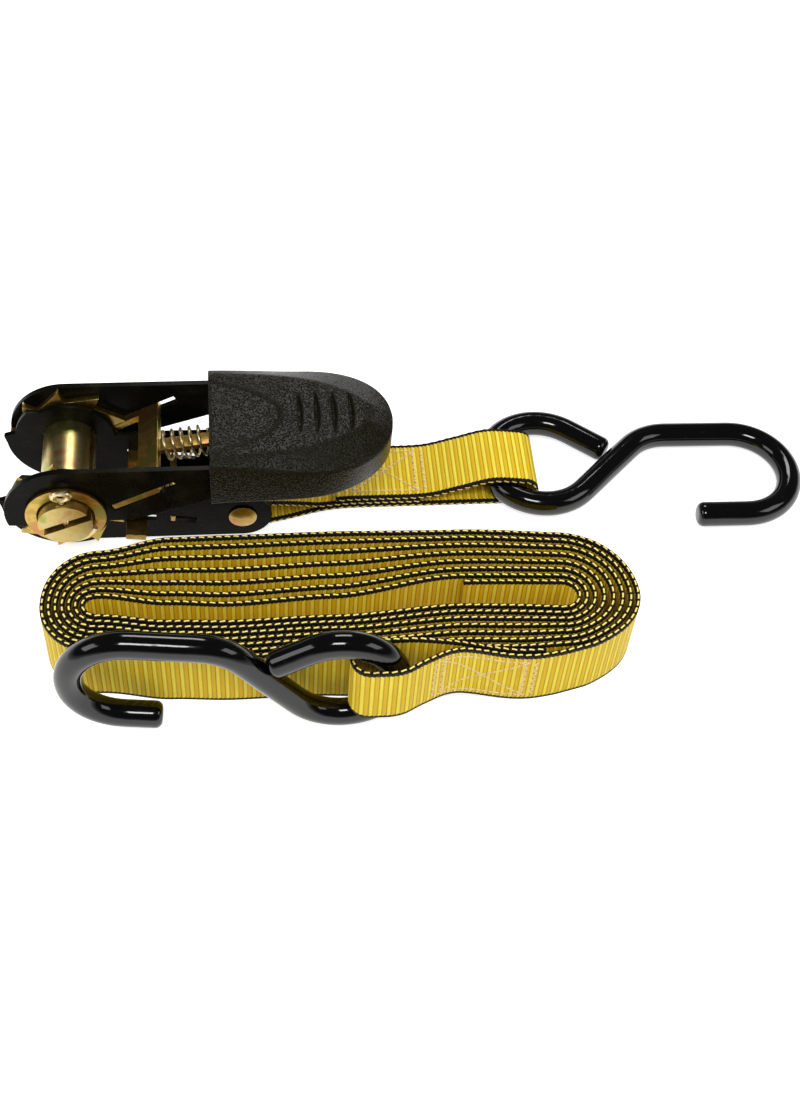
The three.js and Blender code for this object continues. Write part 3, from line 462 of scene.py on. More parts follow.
def smoothed(path, reach, step):
    """The path with its corners eased over about reach, its points being step apart. The ends
    stay."""
    spread = max(int(reach / step), 1)
    weights = np.hanning(2 * spread + 3)[1:-1]
    weights /= weights.sum()
    before = 2 * path[0] - path[spread:0:-1]
    after = 2 * path[-1] - path[-2:-spread - 2:-1]
    padded = np.vstack([before, path, after])
    return np.stack([np.convolve(column, weights, "valid") for column in padded.T], axis=1)


curve_steps = 30


def curve_through(controls):
    """Centripetal spline through controls: each span's parameter grows with the root of its
    length."""
    controls = np.asarray(controls, float)
    ends = [2 * controls[0] - controls[1], 2 * controls[-1] - controls[-2]]
    points = np.vstack([ends[0], controls, ends[1]])
    knots = np.sqrt(np.linalg.norm(np.diff(points, axis=0), axis=1))
    share = np.linspace(0, 1, curve_steps, endpoint=False)[:, None]
    spans = []
    for index in range(1, len(points) - 2):
        before, start, end, after = points[index - 1:index + 3]
        first, middle, last = knots[index - 1:index + 2]
        ahead = (end - start) / middle
        leave = ((start - before) / first - (end - before) / (first + middle) + ahead) * middle
        arrive = (ahead - (after - start) / (middle + last) + (after - end) / last) * middle
        spans.append(
            start + leave * share + (-3 * start + 3 * end - 2 * leave - arrive) * share ** 2
            + (2 * start - 2 * end + leave + arrive) * share ** 3
        )
    return np.vstack([*spans, controls[-1:]])


def smoothstep(value, low, high):
    """0 below low, 1 above high, eased between them."""
    share = np.clip((value - low) / (high - low), 0, 1)
    return share * share * (3 - 2 * share)


# Webbing. Across its section, from edge to edge: places as shares of the half width, thickness as
# a share of the full one, and how much of the ribs shows
section_shares = np.array([-1, -0.985, -0.93, -0.62, -0.25, 0.25, 0.62, 0.93, 0.985, 1])
fullness_shares = np.array([0.72, 0.96, 1, 1, 1, 1, 1, 1, 0.96, 0.72])
ribbed_shares = np.array([0, 0.4, 1, 1, 1, 1, 1, 1, 0.4, 0])
rib_power = 0.8  # below 1, ribs are broader than the valleys between them
edge_swing = 0.18  # how far the edges move in and out with the ribs
edge_inset = 0.12
edge_bulge = 0.02


def webbing_rings(path, across, measure):
    """Rings of points round the webbing at each point of its path: two ribbed faces and rounded
    edges whose cord bulges once in each rib. Also gives each ring's place across, for the weave."""
    half = webbing_width / 2
    through = unit(np.cross(directions(path), across))
    turns = measure / rib_pitch
    wave = np.sin(2 * np.pi * turns)[:, None]
    swing = edge_swing * wave
    at_ends = np.trunc(section_shares)
    aside = half * section_shares + swing * at_ends - edge_inset * section_shares
    pressed = rib_height * ribbed_shares * (1 - np.abs(wave) ** rib_power)
    thick = fullness_shares * webbing_thickness / 2 - pressed
    face = path[:, None] + aside[:, :, None] * across
    lift = thick[:, :, None] * through[:, None]
    tip = (half + edge_bulge + swing)[:, :, None] * across
    ends = [path[:, None] + tip, path[:, None] - tip]
    rings = np.concatenate([face + lift, ends[0], (face - lift)[:, ::-1], ends[1]], axis=1)
    columns, cord = section_shares * half, half + edge_cord
    return rings, np.concatenate([columns, [cord], columns[::-1], [-cord]])


def add_webbing(name, path, across, body, node):
    """One length of webbing along a path, as a closed sheet with its weave's map."""
    measure = lengths(path)
    rings, columns = webbing_rings(path, np.asarray(across, float), measure)
    points, faces = tube_mesh(rings[:, ::-1])
    columns = columns[::-1]
    piece = add_piece(name, points, faces, paints["webbing"], None)
    layer = piece.data.uv_layers.new(name="cloth")
    along = np.concatenate([np.repeat(measure, len(columns)), [0, measure[-1]]])
    aside = np.concatenate([np.tile(columns, len(measure)), [0, 0]])
    corner = np.empty(len(piece.data.loops), np.int32)
    piece.data.loops.foreach_get("vertex_index", corner)
    spots = np.stack([along[corner], aside[corner]], axis=1)
    layer.data.foreach_set("uv", spots.astype(np.float32).ravel())
    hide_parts(node)
    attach(piece, body)
    return piece, measure[-1]


def cloth_surface(marks, line, across):
    """A function that gives points and normals on a strap's upper face, from places along and
    across it."""
    normals = -np.cross(directions(line), across)

    def surface(along, aside, rise):
        normal = unit(read_along(along, marks, normals))
        height = webbing_thickness / 2 - rib_height / 2 + rise
        middle = read_along(along, marks, line) + normal * height[..., None]
        return middle + aside[..., None] * np.array(across), normal

    return surface


stitch_length = 2.1
stitch_radius = 0.34
stitch_rise, stitch_dip = 0.34, 0.12
stitch_gap_share = 0.07
stitch_taper_shares = np.array([0.55, 1, 1, 1, 0.55])
stitch_flat_share = 0.8
stitch_columns = 6


def add_stitches(name, seams, surface, body):
    """Stitches along seams given in places along and across the webbing. Each is a short thread
    that rises in a half sine above the cloth and dips at both ends; surface gives points and
    normals."""
    starts, ends = [], []
    for seam in seams:
        seam = np.asarray(seam, float)
        count = max(int(round(lengths(seam)[-1] / stitch_length)), 1)
        marks = evenly(seam, count + 1) if len(seam) == 2 else seam
        gap = (marks[1:] - marks[:-1]) * stitch_gap_share
        starts.append(marks[:-1] + gap)
        ends.append(marks[1:] - gap)
    starts, ends = np.vstack(starts), np.vstack(ends)
    share = np.linspace(0, 1, len(stitch_taper_shares))
    spots = starts[:, None] + (ends - starts)[:, None] * share[None, :, None]
    rise = (np.sin(np.pi * share) * stitch_rise - stitch_dip)[None, :]
    centre, normal = surface(spots[..., 0], spots[..., 1], rise)
    along = unit(centre[:, -1] - centre[:, 0])
    aside = np.cross(normal, along[:, None])
    radius = stitch_radius * stitch_taper_shares
    rings = round_rings(centre, radius, aside, normal * stitch_flat_share, stitch_columns)
    points, faces = zip(*[tube_mesh(ring) for ring in rings])
    size = len(points[0])
    faces = [[corner + size * index for corner in corners]
             for index, stitch in enumerate(faces) for corners in stitch]
    return add_piece(name, np.vstack(points), faces, thread_paint, body)


zigzag_pitch, zigzag_swing = 1.5, 0.7
box_line_gap = 3.4
cross_share = 0.94  # how far across the box its diagonals reach


def zigzag(place, half):
    """A zigzag seam across the webbing at a place along it."""
    count = int(2 * half / zigzag_pitch)
    sides = place + zigzag_swing * np.where(np.arange(count + 1) % 2, 1, -1)
    return np.stack([sides, np.linspace(-half, half, count + 1)], axis=1)


def box_seams(start, end, inset):
    """A sewn box with a cross in it: two zigzags at each end, long sides and two diagonals."""
    half = webbing_width / 2 - inset
    low, high = start + box_line_gap, end - box_line_gap
    seams = [zigzag(place, half) for place in (start, low, high, end)]
    near, far = start + box_line_gap / 2, end - box_line_gap / 2
    seams += [[(near, side), (far, side)] for side in (-half, half)]
    reach = half * cross_share
    return seams + [[(low, -reach), (high, reach)], [(low, reach), (high, -reach)]]


def add_box(name, marks, line, origin, box, across, body):
    """The stitches of a sewn box, whose ends stand at two places in X from an origin."""
    ends = np.interp(-np.array(box[:2]) - origin[0], -line[:, 0], marks)
    surface = cloth_surface(marks, line, across)
    return add_stitches(name, box_seams(*ends, box[2]), surface, body)


# Long strap
roll_left, roll_right = -104, 50
roll_spine = -38.4
roll_turns_on_right = 8
roll_pitch = 2.1
roll_bunching = 0.6  # how much of the slack the middle turns take from the inner and outer ones
roll_void = 3.5
roll_start_share = 0.786
back_share, bend_share = 0.4, 0.1
key_shares = [0, 0.06, 0.11, 0.2, 0.31, 0.45, 0.485, 0.55, 0.6, 0.75, 0.95, 1]
pitch_shares = [1.35, 1.92, 2.02, 1.92, 1.43, 1.32, 1.09, 1.25, 1.24, 1.07, 1.02, 1.35]
inner_shares = [0.3, 0.02, -0.13, 0.14, 1.22, 1.3, 1.25, 1.05, 0.95, 0.78, 0.85, 0.3]
sag_shares = [0, -0.9, -1.15, -0.85, 0.15, -0.35, -0.35, -0.35, -0.35, -0.35, -0.35, -0.35]
bend_stations = 9
roll_step = 0.0008  # in turns, between points of the drawn spiral
corner_ease = 2.4
sewn_tail = -63.2
end_lift = 10.4  # the sewn eye rises by this to the hook's height
lift_start_share, lift_end_share = 0.28, 1.1
fold_share, fold_flat_share = 0.54, 0.86
long_box = (38, 3.3, 3.4)  # its two ends along X, and how far its sides stand in


def keyed(values, share):
    """Listed values eased between keys that run once round the roll."""
    keys = np.array(key_shares)
    index = np.clip(np.searchsorted(keys, share, side="left") - 1, 0, len(keys) - 2)
    inside = smoothstep(share, keys[index], keys[index + 1])
    values = np.array(values)
    return values[index] + (values[index + 1] - values[index]) * inside


def roll_points(turns):
    """Centre line of the roll: a spiral whose radius grows with each turn, drawn out along a
    spine. The slack between turns follows the turns less a sine of them, so it gathers in the
    middle ones."""
    share = turns % 1
    whole = 2 * np.pi / roll_turns_on_right
    bunched = turns - roll_bunching * np.sin(whole * turns) / whole
    slack = (keyed(pitch_shares, share) - 1) * bunched
    radius = roll_void * keyed(inner_shares, share) + roll_pitch * (turns + slack)
    span = roll_right - roll_left
    front = back_share + bend_share
    stretches = [share < back_share, share < front, share < front + back_share]
    x = np.select(stretches, [
        roll_left + span * share / back_share,
        roll_right,
        roll_right - span * (share - front) / back_share,
    ], roll_left)
    turn = np.select(stretches, [
        np.pi / 2,
        np.pi / 2 - np.pi * (share - back_share) / bend_share,
        -np.pi / 2,
    ], -np.pi / 2 - np.pi * (share - front - back_share) / bend_share)
    along = (x - roll_left) / span
    spine = roll_spine + roll_void * keyed(sag_shares, along * back_share) - along * roll_pitch
    return np.stack([x + radius * np.cos(turn), spine + radius * np.sin(turn)], axis=1)


def roll_end_controls():
    """The end that leaves the roll, passes in front of its own tail, folds round the rod of the
    hook and comes back. The leaning rod needs a little more room than an upright one."""
    eye_radius = long_hook_bends["eye"]
    eye_x = long_hook_place[0] + eye_radius * math.cos(long_hook_yaw)
    eye_y = long_hook_place[1] - eye_radius * math.sin(long_hook_yaw)
    lean_room = webbing_width / 2 * math.sin(long_hook_lean)
    around = rod_radius + webbing_thickness / 2 + fit_gap * 1.5 + lean_room
    fold_x = eye_x - eye_radius * fold_share
    front, back, sewn = eye_y - around, eye_y + around, sewn_tail - ply_pitch
    fold = arc((0, 0), around, -math.pi / 2, -math.pi * 3 / 2, 6)
    return [
        (roll_right * 0.93, sewn + ply_pitch * 0.45),
        (roll_right * 0.78, sewn - ply_gap * 0.3),
        (roll_right * 0.64, sewn - ply_gap * 0.3),
        (roll_right * 0.5, sewn),
        (roll_right * 0.38, sewn),
        (roll_right * 0.26, sewn - ply_pitch * 0.35),
        (roll_right * 0.16, sewn - ply_pitch * 1.3),
        (roll_right * 0.06, sewn - ply_pitch * 2.8),
        (eye_x + ply_pitch * 3, front + ply_pitch * 1.55),
        (eye_x + ply_pitch * 1.2, front + ply_pitch * 0.5),
        (eye_x - ply_pitch, front),
        ((eye_x + fold_x) / 2 - ply_pitch, front),
        *(fold * (fold_flat_share, 1) + (fold_x, eye_y)),
        ((eye_x + fold_x) / 2, back),
        (eye_x, back),
        (roll_right * 0.08, (back * 2 + sewn_tail) / 3 - ply_gap * 0.4),
        (roll_right * 0.26, sewn_tail - ply_gap * 0.4),
        (roll_right * 0.38, sewn_tail),
        (roll_right * 0.64, sewn_tail - ply_gap * 0.2),
        (roll_right * 0.82, sewn_tail - ply_gap * 0.2),
    ]


def add_long_strap():
    """The long strap from the roll's middle to its sewn eye, and the stitches of the eye."""
    first = roll_start_share * back_share
    last = roll_turns_on_right - 1 + back_share + bend_share - bend_share / bend_stations
    rolled = roll_points(np.arange(first, last, roll_step))
    end = curve_through(roll_end_controls())
    step = rib_pitch / 4
    rolled_length = lengths(rolled)[-1] + np.linalg.norm(end[0] - rolled[-1])
    path = np.vstack([rolled, end])
    path = smoothed(evenly(path, int(lengths(path)[-1] / step) + 1), corner_ease, step)
    measure = lengths(path)
    on_end = measure > rolled_length
    share = (roll_right - path[:, 0]) / roll_right
    lift = np.where(on_end, end_lift * smoothstep(share, lift_start_share, lift_end_share), 0)
    path = np.column_stack([path, webbing_width / 2 + lift]) + drawing * (1, 1, 0)
    webbing, total = add_webbing("long_strap_webbing", path, (0, 0, 1), "frame", "long_strap")

    front = on_end & (measure < rolled_length + lengths(end)[-1] / 2)
    stitches = add_box("long_strap_stitches", measure[front], path[front], drawing,
                       long_box, (0, 0, 1), "frame")


# Short strap
rivet = np.array([60.2, -10])
rivet_turn_start, rivet_turn_end = math.radians(78), math.radians(264)
sleeve_radius = 4
strap_shift = 8.4
shift_start, shift_end = 68.5, 101
sewn_start, sewn_end = 92, 128
fold_end = 168.4
arch_height = 12.3
short_top_share = 0.6  # the upper ply starts past this share of the length
short_box = (127, 97.5, 3.2)


def short_strap_controls():
    """Path in the buckle's X and Z: the sewn end, round the rivet, along the floor, round the rod
    and back."""
    lower = -drawn_mandrel[2] + webbing_thickness / 2 + fit_gap
    middle, upper = lower + ply_pitch, lower + 2 * ply_pitch
    turn_radius = sleeve_radius + fit_gap + webbing_thickness / 2
    sewn_middle = (sewn_start + sewn_end) / 2
    rivet_top = (middle * 2 + rivet[1] + turn_radius) / 3
    fold_radius = (arch_height - webbing_thickness) / 2
    fold_middle = (fold_end - fold_radius - webbing_thickness / 2, lower + fold_radius)
    arch_x = short_hook_place[0] - drawn_mandrel[0] - short_hook_bends["eye"]
    return [
        (sewn_end - webbing_width / 8, middle),
        (sewn_middle, middle),
        (sewn_start, middle),
        (sewn_start - ply_pitch * 2, middle + ply_gap),
        ((sewn_start * 2 + rivet[0]) / 3, rivet_top - ply_gap * 3),
        *arc(rivet, turn_radius, rivet_turn_start, rivet_turn_end, 10),
        ((sewn_start + rivet[0]) / 2, lower + ply_gap),
        (sewn_start, lower),
        (sewn_middle, lower),
        (sewn_end, lower),
        ((sewn_end + fold_end) / 2, lower),
        *arc(fold_middle, fold_radius, -math.pi / 2, math.pi / 2, 8),
        (arch_x, lower + arch_height - ply_gap),
        ((arch_x + sewn_end) / 2, upper + (arch_height - 2 * ply_pitch) / 2),
        (sewn_end, upper + ply_gap),
        (sewn_middle, upper),
        (sewn_start + ply_pitch, upper),
    ]


def add_short_strap():
    """The short strap between the rivet and the hook's eye, with the stitches that show on top."""
    path = curve_through(short_strap_controls())
    step = rib_pitch / 8
    path = evenly(path, int(lengths(path)[-1] / step) + 1)
    left = np.clip((shift_end - path[:, 0]) / (shift_end - shift_start), 0, 1)
    path = np.column_stack([path[:, 0], strap_shift * (1 - left ** 2), path[:, 1]]) + mandrel
    webbing, total = add_webbing(
        "short_strap_webbing", path, (0, 1, 0), "short_strap", "short_strap")
    measure = lengths(path)
    top = measure > total * short_top_share
    stitches = add_box("short_strap_stitches", measure[top], path[top], mandrel,
                       short_box, (0, 1, 0), "short_strap")


# Hooks
hook_step = 1.2
hook_ease = 3
hook_columns = 36
end_rings = 7


def arc(centre, radius, start, end, steps):
    """Points on a circle from one angle to another."""
    turn = np.linspace(start, end, steps + 1)
    return np.stack([centre[0] + radius * np.cos(turn), centre[1] + radius * np.sin(turn)], axis=1)


def hook_line(bends):
    """Centre line of an S-hook in a plane, its eye centred on the origin: a leg, the eye's arc,
    the straight shank, a fillet, the open bend and the straight tip."""
    eye, bend, bend_radius = bends["eye"], bends["bend"], bends["radius"]
    normal = np.array([math.sin(hook_shank_turn), -math.cos(hook_shank_turn)])
    leg = eye * np.array([math.cos(hook_eye_leg_turn), math.sin(hook_eye_leg_turn)])
    leg_way = np.array([math.sin(hook_eye_leg_turn), -math.cos(hook_eye_leg_turn)])
    slope = leg_way @ normal
    room = rod_radius * (1 + math.sqrt(1 - slope * slope)) + fit_gap
    leg_end = leg + leg_way * (eye - room - leg @ normal) / slope
    fillet_y = bend[1] + bend_radius - hook_fillet_radius
    fillet_x = (eye + hook_fillet_radius - fillet_y * normal[1]) / normal[0]
    fillet = (fillet_x, fillet_y)
    return np.vstack([
        leg_end[None],
        arc((0, 0), eye, hook_eye_leg_turn, 2 * np.pi - hook_shank_turn, 40),
        arc(fillet, hook_fillet_radius, np.pi / 2 + hook_shank_turn, np.pi / 2, 12),
        arc(bend, bend_radius, np.pi / 2, -np.pi / 2, 30),
        np.array([[bend[0] - bends["tip"], bend[1] - bend_radius]]),
    ])


def add_hook(name, bends, matrix, body, node):
    """A coated rod along the hook's line. Each end's radius follows a quarter circle."""
    line = hook_line(bends)
    line = smoothed(evenly(line, int(lengths(line)[-1] / hook_step)), hook_ease, hook_step)
    measure = lengths(line)
    turn = np.linspace(0, np.pi / 2, end_rings)
    ends = hook_end_round * (1 - np.cos(turn))
    clear = hook_end_round * 1.3
    inside = (measure > clear) & (measure < measure[-1] - clear)
    stations = np.concatenate([ends, measure[inside], measure[-1] - ends[::-1]])
    rounded = rod_radius - hook_end_round + hook_end_round * np.sin(turn)
    radius = np.full(len(stations), rod_radius)
    radius[:end_rings], radius[-end_rings:] = rounded, rounded[::-1]
    level = np.zeros(len(stations))
    path = np.column_stack([read_along(stations, measure, line), level])
    way = unit(read_along(stations, measure, directions(line)))
    aside = np.column_stack([-way[:, 1], way[:, 0], level])
    rings = round_rings(path, radius, aside, np.array([0, 0, 1]), hook_columns)
    points, faces = tube_mesh(rings)
    points = points @ np.array(matrix.to_3x3()).T + np.array(matrix.translation)
    piece = add_piece(name, points, faces, paints["hook_vinyl"], body)
    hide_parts(node)


def add_hooks():
    """The short strap's hook lies on its strap; the long strap's stands on its eye and tip."""
    bed = webbing_thickness + 2 * fit_gap + rod_radius
    reach = short_hook_bends["bend"][0] + short_hook_bends["radius"]
    slope = math.asin((bed - rod_radius) / (reach + short_hook_bends["eye"]))
    flat = Vector(drawing * (1, 1, 0))
    place = flat + Vector((*short_hook_place, rod_radius + reach * math.sin(slope)))
    lying = Matrix.Translation(place) @ Matrix.Rotation(slope, 4, "Y")
    add_hook("short_strap_hook_coated", short_hook_bends, lying, "short_hook", "short_strap_hook")
    eye = long_hook_bends["eye"]
    tip_x = long_hook_bends["bend"][0] - long_hook_bends["tip"]
    tip_y = long_hook_bends["bend"][1] - long_hook_bends["radius"]
    sit = math.atan2(-tip_y, tip_x) - math.asin(eye / math.hypot(tip_x, tip_y))
    height = rod_radius + eye * math.cos(long_hook_lean)
    standing = (
        Matrix.Translation(flat + Vector((*long_hook_place, height)))
        @ Matrix.Rotation(math.pi - long_hook_yaw, 4, "Z")
        @ Matrix.Rotation(math.pi / 2 + long_hook_lean, 4, "X")
        @ Matrix.Rotation(sit, 4, "Z")
    )
    add_hook("long_strap_hook_coated", long_hook_bends, standing, "long_hook", "long_strap_hook")


# Springs. Each pawl slides on a line at its tilt, which passes pawl_offset below the mandrel axis
pawl_offset = 5.57
pawl_thickness = 2.4
drive_tilt, stem_tilt = math.radians(27.7), math.radians(10)
drive_back, drive_bar = 33.4, 8  # the drive pawl's back edge, and how deep its cross bar is
drive_seat = 49.8  # the handle's web, against which its spring stands
drive_radius, drive_wire, drive_curls, drive_travel = 5.1, 0.5, 5, 6.2
lock_tilt = math.radians(-8)
lock_tip, lock_width, lock_room = 20.75, 7, 8.4
lock_radius, lock_wire, lock_curls, lock_travel = 2.7, 0.4, 4, 3
curl_steps, wire_columns = 32, 10


def add_spring(name, node, start, tilt, length, coil, body, travel, held):
    """A compression spring, a helix of round wire about a line in the XZ plane. coil is its
    radius, its wire's radius and its curls. held, a share of its length from 0 at its start to 1
    at its end, is not used."""
    radius, wire_radius, curls = coil
    share = np.linspace(0, 1, curls * curl_steps + 1)[:, None]
    along = wire_radius + (length - 2 * wire_radius) * share
    turn = 2 * np.pi * curls * share
    axis = np.array([math.cos(tilt), 0, math.sin(tilt)])
    up = np.array([-math.sin(tilt), 0, math.cos(tilt)])
    start = mandrel + [start[0], 0, start[1]]
    path = start + along * axis + radius * (np.cos(turn) * [0, 1, 0] + np.sin(turn) * up)
    way = directions(path)
    aside = unit(np.cross(way, axis))
    rings = round_rings(path, wire_radius, aside, np.cross(way, aside), wire_columns)
    points, faces = tube_mesh(rings)
    piece = add_piece(name, points, faces, spring_paint, body)
    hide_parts(node)
    anchor = (start + held * length * axis) * MM
    keep = (length - travel) / length
    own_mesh(piece)


def on_pawl_line(tilt, along):
    """X and Z, from the mandrel axis, of a place on a pawl's line."""
    return np.array([along * math.cos(tilt) + pawl_offset * math.sin(tilt),
                     along * math.sin(tilt) - pawl_offset * math.cos(tilt)])


def add_springs():
    """The drive pawl's spring stands between its cross bar and the handle's web, round the stem;
    the lock pawl's between its bar and its plate."""
    bend = drive_tilt - stem_tilt
    lead = (drive_bar / 4 + pawl_thickness / 2 * math.sin(bend)) / math.cos(bend)
    lead += fit_gap + drive_wire * math.sin(bend)
    way = np.array([math.cos(stem_tilt), math.sin(stem_tilt)])
    start = on_pawl_line(drive_tilt, drive_back - drive_bar / 4) + way * lead
    length = (drive_seat - fit_gap - start[0]) / math.cos(stem_tilt)
    length -= drive_wire * math.sin(stem_tilt)
    add_spring("drive_pawl_spring_coil", "drive_pawl_spring", start, stem_tilt, length,
               (drive_radius, drive_wire, drive_curls), "handle",
               drive_travel, 1)
    start = on_pawl_line(lock_tilt, lock_tip + lock_width + fit_gap)
    add_spring("lock_pawl_spring_coil", "lock_pawl_spring", start, lock_tilt,
               lock_room - 2 * fit_gap, (lock_radius, lock_wire, lock_curls), "lock_pawl",
               lock_travel, 0)


# Formed steel: the part's own solids with their corners rounded, each by its own amount
corner_angle = math.radians(32)
flat_angle = math.radians(0.6)
merge_gap = 0.002
formed = [
    ("ratchet_frame", "black_paint", "frame", 0.35),
    ("handle_frame", "black_paint", "handle", 0.4),
    ("half_shaft_upper", "zinc_gold", "mandrel", 0.35),
    ("half_shaft_lower", "zinc_gold", "mandrel", 0.35),
    *((f"{node}_{side}", slot, "mandrel", round_off) for side in ("near", "far")
      for node, slot, round_off in (
          ("ratchet_wheel", "zinc_gold", 0.25), ("washer", "zinc_gold", 0.25),
          ("split_pin", "pin_steel", 0.08))),
    ("drive_pawl", "zinc_gold", "drive_pawl", 0.25),
    ("lock_pawl", "zinc_gold", "lock_pawl", 0.25),
    ("lock_spring_plate", "zinc_gold", "frame", 0.2),
    ("webbing_rivet", "zinc_gold", "frame", 0.2),
    ("rivet_sleeve", "zinc_gold", "frame", 0.1),
]


def add_formed(node, slot, body, round_off):
    """A merged copy of a node with bevelled corners, in place of the node."""
    mesh = nodes[node].data.copy()
    editing = bmesh.new()
    editing.from_mesh(mesh)
    bmesh.ops.remove_doubles(editing, verts=editing.verts, dist=merge_gap * MM)
    bmesh.ops.dissolve_limit(
        editing, angle_limit=flat_angle, verts=editing.verts, edges=editing.edges)
    editing.to_mesh(mesh)
    editing.free()
    mesh.materials.clear()
    mesh.materials.append(shaft_paint if node.startswith("half_shaft") else paints[slot])
    mesh.polygons.foreach_set("use_smooth", np.ones(len(mesh.polygons), bool))
    mesh.set_sharp_from_angle(angle=corner_angle)
    piece = bpy.data.objects.new(f"{node}_steel", mesh)
    bpy.context.collection.objects.link(piece)
    rounding = piece.modifiers.new("rounded_corners", "BEVEL")
    rounding.width = round_off * MM
    rounding.segments = 2
    rounding.limit_method = "ANGLE"
    rounding.angle_limit = corner_angle
    rounding.harden_normals = True
    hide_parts(node)
    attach(piece, body)


# Moulded grip
grip_start, grip_end, nose_start = 49.7, 113, 82
nose_fullness = 2.3
grip_half, grip_flare = 22.8, 1.2
grip_top, grip_top_half, grip_top_end = 25.4, 18.9, 106.5
rim_left, rim_right = 24.2, 21.4
bottom_left, bottom_right = 5, 10.5
grip_tuck, grip_wall = 1.6, 1.7
groove_count, groove_pitch, groove_first = 4, 5.9, 80.4
groove_half_length, groove_half_width, groove_depth = 10, 1.6, 1.3
groove_steep_share = 0.25  # how wide a groove's left slope is beside its right one
groove_least, groove_floor, groove_end_power = 0.05, 1.6, 6
tongue_root, tongue_tip, tongue_half, tongue_middle = 51, 74.5, 17, -0.4
tongue_power = 2.2
tongue_line, tongue_rise, tongue_drop = 0.42, 0.4, 0.3
mark_start, mark_full = 0.4, 1.2  # the marks fade in this far from the grip's open end
corner_radii = np.array([0.7, 1.5, 1.3, 1.3, 1.5, 0.7])
corner_steps = 6
top_stations, nose_stations, flat_count = 190, 40, 96


def rim_half(x):
    """Half width of the grip's rim: straight, then a nose on a superellipse."""
    half = grip_half + grip_flare * smoothstep(x, grip_start, nose_start)
    share = np.clip((x - nose_start) / (grip_end - nose_start), 0, 1)
    return half * (1 - share ** nose_fullness) ** (1 / nose_fullness)


def top_half(x, half):
    """Half width of the flat top, which narrows to the nose."""
    share = np.clip((x - grip_start) / (grip_top_end - grip_start), 0, 1)
    return np.minimum(np.maximum(grip_top_half * (1 - share ** 3) ** 0.78, half / 4), half * 0.9)


def rounded_corners(corners):
    """Rings of corner points, rows by corners by 2, with each corner turned into a curve that
    starts and ends its radius away from it: the sides' blend by squares of the share."""
    before = np.roll(corners, 1, axis=1) - corners
    after = np.roll(corners, -1, axis=1) - corners
    reach_before = np.linalg.norm(before, axis=2, keepdims=True)
    reach_after = np.linalg.norm(after, axis=2, keepdims=True)
    radius = corner_radii[None, :, None]
    first = corners + before / reach_before * np.minimum(radius, reach_before * 0.45)
    last = corners + after / reach_after * np.minimum(radius, reach_after * 0.45)
    share = np.linspace(0, 1, corner_steps)[None, None, :, None]
    curve = (first[:, :, None] * (1 - share) ** 2 + corners[:, :, None] * 2 * share * (1 - share)
             + last[:, :, None] * share ** 2)
    return curve.reshape(len(corners), -1, 2)


def marked_top(x, y):
    """How far the top is pressed in at a place: spindle grooves, steep on the left and gentle on
    the right, and a fine line round a tongue, whose edge falls back by a power of its width."""
    depth = np.zeros_like(x)
    share = np.clip(np.abs(y) / groove_half_length, 0, 1)
    width = groove_half_width * (1 - share ** 2)
    right = np.maximum(width, groove_least)
    left = np.maximum(groove_steep_share * width, groove_least)
    deepest = groove_depth * (1 - share ** groove_end_power)
    for index in range(groove_count):
        beyond = x - groove_first - groove_pitch * index
        pressed = np.clip(1 - beyond / np.where(beyond > 0, right, -left), 0, 1)
        depth += deepest * np.minimum(pressed * groove_floor, 1)
    reach = np.clip(np.abs(y - tongue_middle) / tongue_half, 0, 1.2)
    length = tongue_tip - tongue_root
    edge = tongue_tip - length * reach ** tongue_power
    steepness = tongue_power * length / tongue_half * reach ** (tongue_power - 1)
    gap = (x - edge) / np.sqrt(1 + steepness ** 2)
    raised = tongue_rise * np.exp(-(gap / tongue_line) ** 2)
    raised -= tongue_drop * smoothstep(-gap, 0.1, 1.4) * (x < edge)
    return depth - raised * (reach < 1)


def grip_section(x, inset):
    """Corner points in Y and Z of the grip's outside, or of its hollow when inset is set."""
    share = (x - grip_start) / (grip_end - grip_start)
    flare = smoothstep(x, grip_start, nose_start)
    half = np.maximum(rim_half(x + inset * np.clip(share, 0, 1)) - inset, grip_wall / 4)
    rim = rim_left + (rim_right - rim_left) * flare
    flat = top_half(x, half)
    fall = smoothstep(x, grip_top_end - grip_flare * 4, grip_end)
    top = grip_top - (grip_top - rim) * fall * 0.9
    bottom = bottom_left + (bottom_right - bottom_left) * share
    low = np.maximum(half - grip_tuck * smoothstep(x, nose_start, grip_end), grip_wall / 5)
    if inset:
        top, rim, flat = top - inset, rim - inset * 1.2, np.minimum(flat, half * 0.9)
    corners = [(-low, bottom), (-half, rim), (-flat, top), (flat, top), (half, rim), (low, bottom)]
    return np.stack([np.stack(corner, axis=-1) for corner in corners], axis=1)


def grip_rings(inset, stations):
    """Rings of the grip at stations along it. The flat top, between the third corner and the
    fourth, is a fine grid on which the grooves and the tongue's line are pressed."""
    section = rounded_corners(grip_section(stations, inset))
    flat_start = 3 * corner_steps
    flat_from, flat_to = section[:, flat_start - 1], section[:, flat_start]
    share = np.linspace(0, 1, flat_count + 2)[1:-1][None, :, None]
    flat = flat_from[:, None] * (1 - share) + flat_to[:, None] * share
    section = np.concatenate([section[:, :flat_start], flat, section[:, flat_start:]], axis=1)
    place = np.broadcast_to(stations[:, None], section.shape[:2])
    ring = np.stack([place, section[..., 0], section[..., 1]], axis=-1).copy()
    if not inset:
        margin = corner_steps // 2
        top = ring[:, flat_start - margin:flat_start + flat_count + margin]
        fade = smoothstep(top[..., 0], grip_start + mark_start, grip_start + mark_full)
        top[..., 2] -= marked_top(top[..., 0], top[..., 1]) * fade
    return ring


